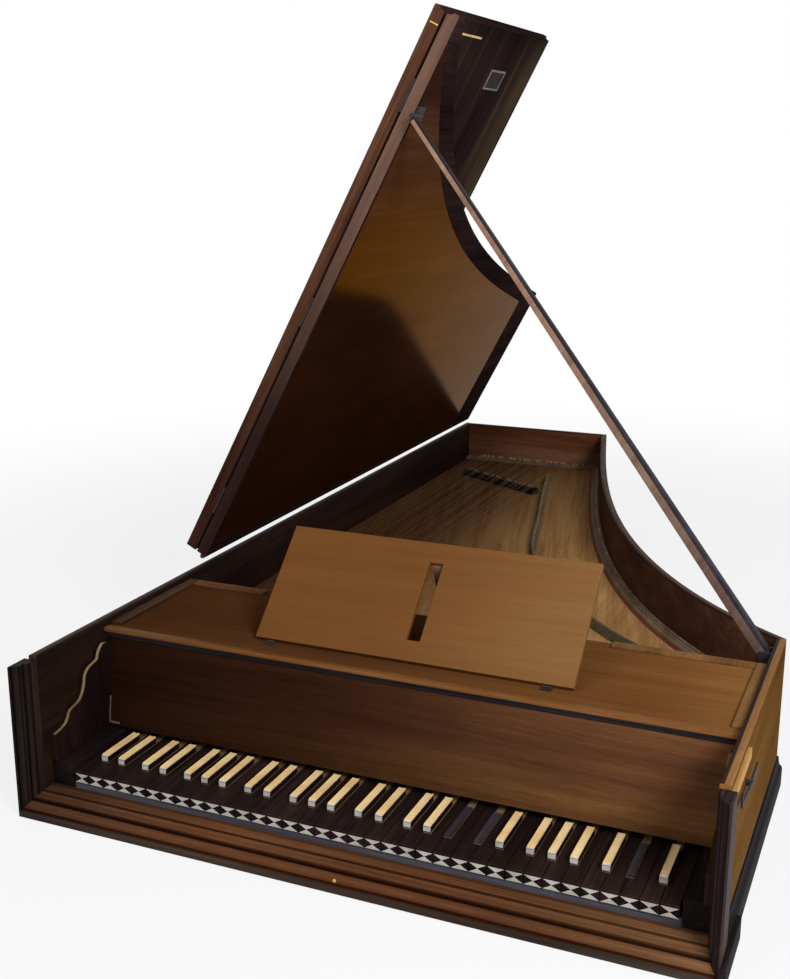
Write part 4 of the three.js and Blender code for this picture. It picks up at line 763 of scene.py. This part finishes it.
# The left strips are darker and the right ones golden, as painted shade and painted light
BORDERS = [("border_shaded", -FITTED, -FITTED + 18, 203), ("border_lit", FITTED - 14, FITTED, 203),
           ("border", -FITTED + 18.2, -307, 397), ("border_lit", 241, FITTED - 14.2, 397)]
b = Build()
b.box(-FITTED, FITTED, BOARD_HEAD[0], COVER_BACK, 205, 212.6)
b.made("cover_panel", ["cover"], replaces=["cover_board"], bevel=0.3, slot="golden_walnut")
b = Build()
b.across(LIP_PROFILE, -FITTED, FITTED)
b.made("cover_lip", ["lip"], bevel=0.2, smooth=60)
b = Build()
b.across(MOULDING_PROFILE, -FITTED, FITTED)
b.made("cover_lip_moulding", ["lip_dark"], smooth=25)
for n, (kind, x0, x1, front) in enumerate(BORDERS):
    b = Build()
    b.box(x0, x1, front, COVER_BACK, 212.4, 216.5)
    b.made("cover_border_%d" % n, [kind], bevel=1.2)

# Music desk, a board with a slot in it
DESK_LOW, DESK_HIGH = 213.3, 221.3
outer = [(-224, 233), (236, 233), (236, 414), (-224, 414)]
inner = [(-4, 263), (16, 263), (16, 383), (-4, 383)]
b = Build(desk_open)
for z in (DESK_LOW, DESK_HIGH):
    for n in range(4):
        m = (n + 1) % 4
        b.face([(*outer[n], z), (*outer[m], z), (*inner[m], z), (*inner[n], z)])
for plan in (outer, inner):
    b.upright(plan, DESK_LOW, DESK_HIGH, 0, (None, None))
b.made("desk_board", ["desk"], body="desk", replaces=["music_desk"], bevel=1.0, slot="golden_walnut")

# Lid and flap: moulded edge in insets and heights, border, and sunk panel on the inner face
LEVELS = [(-2.4, 223.8), (-3.4, 224.3), (-4, 225.4), (-4, 232.8), (-3.2, 233.1), (-2, 233.6), (-1, 234.3),
          (-0.5, 235.3), (-0.5, 236.6), (0.1, 237.4), (0.4, 240.6), (1, 241.5), (2, 241.8)]
PANEL_INSET, PANEL_LEVEL = 32, 223.8
SUNK_INSET, SUNK_LEVEL = 33.2, 225


def lid_ring(inset, z, border=None):
    left, front, tail = border or (0, 0, inset)
    bent = [(x, d, z) for x, d in bent_line(inset, 72, LENGTH - tail)]
    corners = [(left - HALF, LID_FRONT + front, z), (HALF - inset, LID_FRONT + front, z)]
    return corners + bent + [(left - HALF, LENGTH - tail, z)]


def flap_ring(inset, z, border=(0, 0)):
    left, back = border
    front = inset - 13
    return [(left - HALF, front, z), (HALF - inset, front, z), (HALF - inset, 477 - back, z),
            (left - HALF, 477 - back, z)]


b = Build(lid_open)
edge = [lid_ring(*level) for level in LEVELS]
border = lid_ring(PANEL_INSET, PANEL_LEVEL, (8, 7, 112))
sunk = lid_ring(SUNK_INSET, SUNK_LEVEL, (9.2, 8.2, 113.2))
b.loft(edge, [2] + [1] * (len(border) - 1), (None, 3))
b.loft([edge[0], border], 1, (None, None))
b.loft([border, sunk], 1, (None, 0))
b.made("lid_main", ["panel", "lid_border", "lid_edge", "lid_outer"], body="lid", replaces=["main_lid"],
       smooth=30, slot="walnut")

b = Build(flap_open)
edge = [flap_ring(*level) for level in LEVELS]
border = flap_ring(PANEL_INSET, PANEL_LEVEL, (8, 8))
sunk = flap_ring(SUNK_INSET, SUNK_LEVEL, (9.2, 9.2))
b.loft(edge, [3, 3, 2, 3], (None, 1))
b.loft([edge[0], border], 3, (None, None))
b.loft([border, sunk], 1, (None, 0))
b.made("lid_flap_board", ["flap_panel", "flap", "flap_edge", "lid_border"], body="flap",
       replaces=["lid_flap"], smooth=30, slot="walnut")

# Prop stick, with its front right corner planed off. Its planed corner, right side and foot end are dark with
# painted shade
STICK_SHAPE = ((-1, 1), (-1, -0.9), (-0.9, -1), (0.5, -1), (1, -0.7), (1, 1))
along = Vector((-math.cos(STICK_ANGLE), math.sin(STICK_ANGLE)))
over = Vector((math.sin(STICK_ANGLE), math.cos(STICK_ANGLE)))


def stick_ring(s, wide, deep):
    ring = []
    for a, t in STICK_SHAPE:
        p = STICK_FOOT + along * s + over * (a * wide / 2)
        ring.append((p.x, STICK_D + t * deep / 2, p.y))
    return ring


stick_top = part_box("prop_stick")[1][2] * METRE
stick_end = (stick_top - STICK_FOOT.y) / math.sin(STICK_ANGLE)
b = Build()
b.loft([stick_ring(-8, 15.5, 16.5), stick_ring(-6, 16.9, 17.9), stick_ring(stick_end - 5, 8.1, 9.1),
        stick_ring(stick_end - 3.6, 6.6, 7.6)], [0, 0, 0, 1, 1, 0], (1, 0))
b.made("stick_board", ["stick", "stick_shaded_side"], body="stick", replaces=["prop_stick"], bevel=0.4,
       slot="walnut")

# Lines that the strings cross, and heights of the strings at the nut, on the bridges and at the hitchpins
BRIDGE = [(0.853, -0.025), (0.549, 0.053), (0.322, 0.132), (0.112, 0.235), (-0.108, 0.387), (-0.24, 0.576),
          (-0.363, 0.76), (-0.432, 0.876)]
BASS_LINE = [(-187, 1428.8), (-394, 1542.6)]
BASS_FROM = -190
NUT_FRONT, NUT_BACK = 228, 323
NUT_Z, BRIDGE_Z, HITCH_Z = 149.6, 152.3, 146.4
TAIL_PINS = LENGTH - 20
CHOIRS = ((-5.6, False), (-1.8, True))
bridge_line = smooth_line([(HALF * x, CHEEK + (LENGTH - CHEEK) * d) for x, d in BRIDGE], 12)
hitch_line = bent_line(20, 200)


def crossing(line, x):
    """Where a line that runs from right to left passes x, or None."""
    for (x0, d0), (x1, d1) in zip(line, line[1:]):
        if x1 <= x <= x0 and x0 > x1:
            return d0 + (d1 - d0) * (x0 - x) / (x0 - x1)
    return None


# Strings in two choirs, with the pins on the bridges and the hitchpin rail
b, pins = Build(), Build()
for i in range(NATURALS):
    places = [KEYS_LEFT + (i + 0.5) * PITCH]
    if i in sharps:
        places.append(sharps[i][0])
    for place in places:
        for choir, back_row in CHOIRS:
            x = place + choir
            bridged = crossing(BASS_LINE if x < BASS_FROM else bridge_line, x)
            last = crossing(hitch_line, x) or TAIL_PINS
            if back_row and last <= TAIL_PINS - 1:
                last += 3.5
            if bridged is None or bridged > last - 6:
                bridged = last - 30
            path = [(x, NUT_FRONT, NUT_Z), (x, NUT_BACK, BRIDGE_Z), (x, bridged, BRIDGE_Z),
                    (x, last, HITCH_Z)]
            for start, end in zip(path, path[1:]):
                b.rod(start, end, 0.22, 5)
            pins.rod((x + 0.8, bridged, 150.6), (x + 0.8, bridged, 154.4), 0.55, 6)
            pins.rod((x, last, 143.6), (x, last + 0.8, 149), 0.7, 6)
b.made("fine_strings", ["wire"], replaces=["strings"], slot="brass", smooth=60)
pins.made("string_pins", ["brass"], slot="brass", smooth=60)

# Bass bridge, sawn between its strings
TEETH, TOOTH_HALF = 26, 2.9
TOOTH = [(-10.9, 145), (-8, 151.2), (-6.5, 151.6), (6.5, 151.6), (8, 151.2), (10.9, 145)]
bass_from, bass_to = Vector(BASS_LINE[1]), Vector(BASS_LINE[0])
bass_way = (bass_to - bass_from).normalized()
bass_length = (bass_to - bass_from).length


def on_bass(point):
    p = bass_from + bass_way * point[0] + Vector((bass_way.y, -bass_way.x)) * point[1]
    return p.x, p.y, point[2]


b = Build(on_bass)
b.box(0, bass_length, -10.9, 10.9, 137.3, 145)
for k in range(TEETH):
    at = bass_length * (k + 0.5) / TEETH
    b.across(TOOTH, at - TOOTH_HALF, at + TOOTH_HALF)
b.made("bass_bridge_comb", ["bass"], replaces=["bass_bridge"], smooth=20)

# Red tape and a pale bead along the hitchpin rail
TAPE = [(31.5, 137.1), (31.5, 138.7), (35.2, 138.4), (35.2, 137.1)]
BEAD = [(14, 144.2), (14.6, 147.6), (16.6, 148.4), (18, 147.4), (18.4, 144.2)]
for name, profile, kind in (("listing_tape", TAPE, "red"), ("hitch_bead", BEAD, "hitch")):
    b = Build()
    strip(b, profile, lambda inset: bent_line(inset, 90))
    b.made(name, [kind], smooth=30)

# Small fittings: bar, plate and lock on the flap, pale line by the nameboard, button on the sill
b = Build(flap_open)
b.box(438.6, 441.8, 300, 424, 241.7, 242.8)
b.made("flap_bar", ["brass"], body="flap", bevel=0.3, slot="brass")
b = Build(flap_open)
b.box(442, 444, 476.6, 477.45, 228, 241.2)
b.made("flap_plate", ["brass"], body="flap", bevel=0.2, slot="brass")
rim = [(365, 126), (398, 126), (398, 194), (365, 194)]
softened = [(365.7, 126.7), (397.3, 126.7), (397.3, 193.3), (365.7, 193.3)]
hole = [(368, 130), (395, 130), (395, 190), (368, 190)]
b = Build(flap_open)
b.loft([[(x, d, z) for x, d in plan] for plan, z in
        ((rim, 241.7), (rim, 242.6), (softened, 243.1), (hole, 243.1), (hole, 242.1))], 0, (0, 1))
b.made("lock_face", ["lock_rim", "lock_dark"], body="flap", replaces=["lock_plate"], smooth=20, slot="steel")
b = Build()
for low, high, right in ((74, 112, -438.4), (72.4, 75, -422)):
    b.across([(board_face(low) - 1.3, low), (board_face(high) - 1.3, high), (board_face(high) + 0.5, high),
              (board_face(low) + 0.5, low)], -441, right)
b.made("nameboard_line", ["line"])
b = Build()
b.rod((5, 9, 14.4), (5, 4.9, 14.4), 2.4, 12)
b.made("sill_button", ["brass"], slot="brass", bevel=0.3, smooth=50)

# Materials of the nodes that stay as they are. Every node whose name starts with jack is a row of jacks.
KEEP = {
    "sill": ["sill"], "post": ["front_post_left", "front_post_right"], "nameboard": ["nameboard"],
    "block": ["key_block_left", "key_block_right"], "rail": ["keyframe"], "jack": ["register"],
    "pine": ["case_bottom", "wrestplank", "belly_rail", "soundboard_liner"], "board": ["soundboard"],
    "hitch": ["hitchpin_rail"], "bridge": ["nut", "bridge"], "inside": ["jack_rail"], "strut": ["desk_strut"],
    "iron": ["desk_hinge_left", "desk_hinge_right", "lid_hinge_front", "lid_hinge_rear", "flap_hinge_left",
             "flap_hinge_middle", "flap_hinge_right"],
    # Dark iron for the bracket, peg and hooks; on the bracket the darkness is also painted shade at the
    # stick's foot
    "iron_dark": ["prop_bracket", "prop_peg", "hook_plate", "cheek_hook"], "strip_lit": ["cheek_strip"],
}
looks = {name: "jack" for name in nodes if name.startswith("jack")}
looks.update({name: kind for kind, names in KEEP.items() for name in names})
for name, kind in looks.items():
    nodes[name].data.materials.clear()
    nodes[name].data.materials.append(M[kind])

# Floor and backdrop: white where they are looked at, grey for the light that they give
bpy.ops.mesh.primitive_plane_add(size=60, location=(0, 0, -0.0006))
floor = bpy.context.object
floor.name = "floor"
s = Shader("floor_plain", Base_Color=(0.86, 0.86, 0.86, 1), Roughness=0.9, Specular_IOR_Level=0.1)
far = s.span(s.distance(), 1.0, 2.6, 0.8, 1.0)
glow = s.new("ShaderNodeEmission")
glow.inputs["Color"].default_value = (1, 1, 1, 1)
share = s.calc("MULTIPLY", s.looked_at(), far)
s.put(s.out.inputs[0], s.blend(share, s.bsdf.outputs[0], glow.outputs[0]))
floor.data.materials.append(s.mat)

world = bpy.data.worlds.new("studio")
bpy.context.scene.world = world
world.use_nodes = True
sky = Nodes(world.node_tree, "ShaderNodeOutputWorld")


def backdrop(strength):
    node = sky.new("ShaderNodeBackground")
    node.inputs["Color"].default_value = (1, 1, 1, 1)
    node.inputs["Strength"].default_value = strength
    return node.outputs[0]


sky.put(sky.out.inputs[0], sky.blend(sky.looked_at(), backdrop(0.34), backdrop(1.0)))

# Lamps and camera, in metres


def lamp(name, place, target, size, power):
    data = bpy.data.lights.new(name, "AREA")
    data.shape = "DISK"
    data.size = size
    data.energy = power
    item = bpy.data.objects.new(name, data)
    bpy.context.scene.collection.objects.link(item)
    item.location = place
    item.rotation_euler = (Vector(target) - Vector(place)).to_track_quat("-Z", "Y").to_euler()


lamp("key_light", (1.9, -2.2, 1.9), (0.1, -0.3, 0.2), 1.0, 62)
lamp("fill_light", (-1.2, -3.2, 2.2), (0, -0.4, 0.2), 2.0, 20)

camera = bpy.data.objects.new("camera", bpy.data.cameras.new("camera"))
bpy.context.scene.collection.objects.link(camera)
camera.location = (0.6239, -2.1001, 0.8691)
camera.rotation_euler = (math.radians(75.41), 0, math.radians(23.41))
camera.data.sensor_fit = "VERTICAL"
camera.data.sensor_height = 36
camera.data.lens = 46.9
camera.data.clip_end = 200
bpy.context.scene.camera = camera
bpy.context.scene.view_settings.view_transform = "Standard"
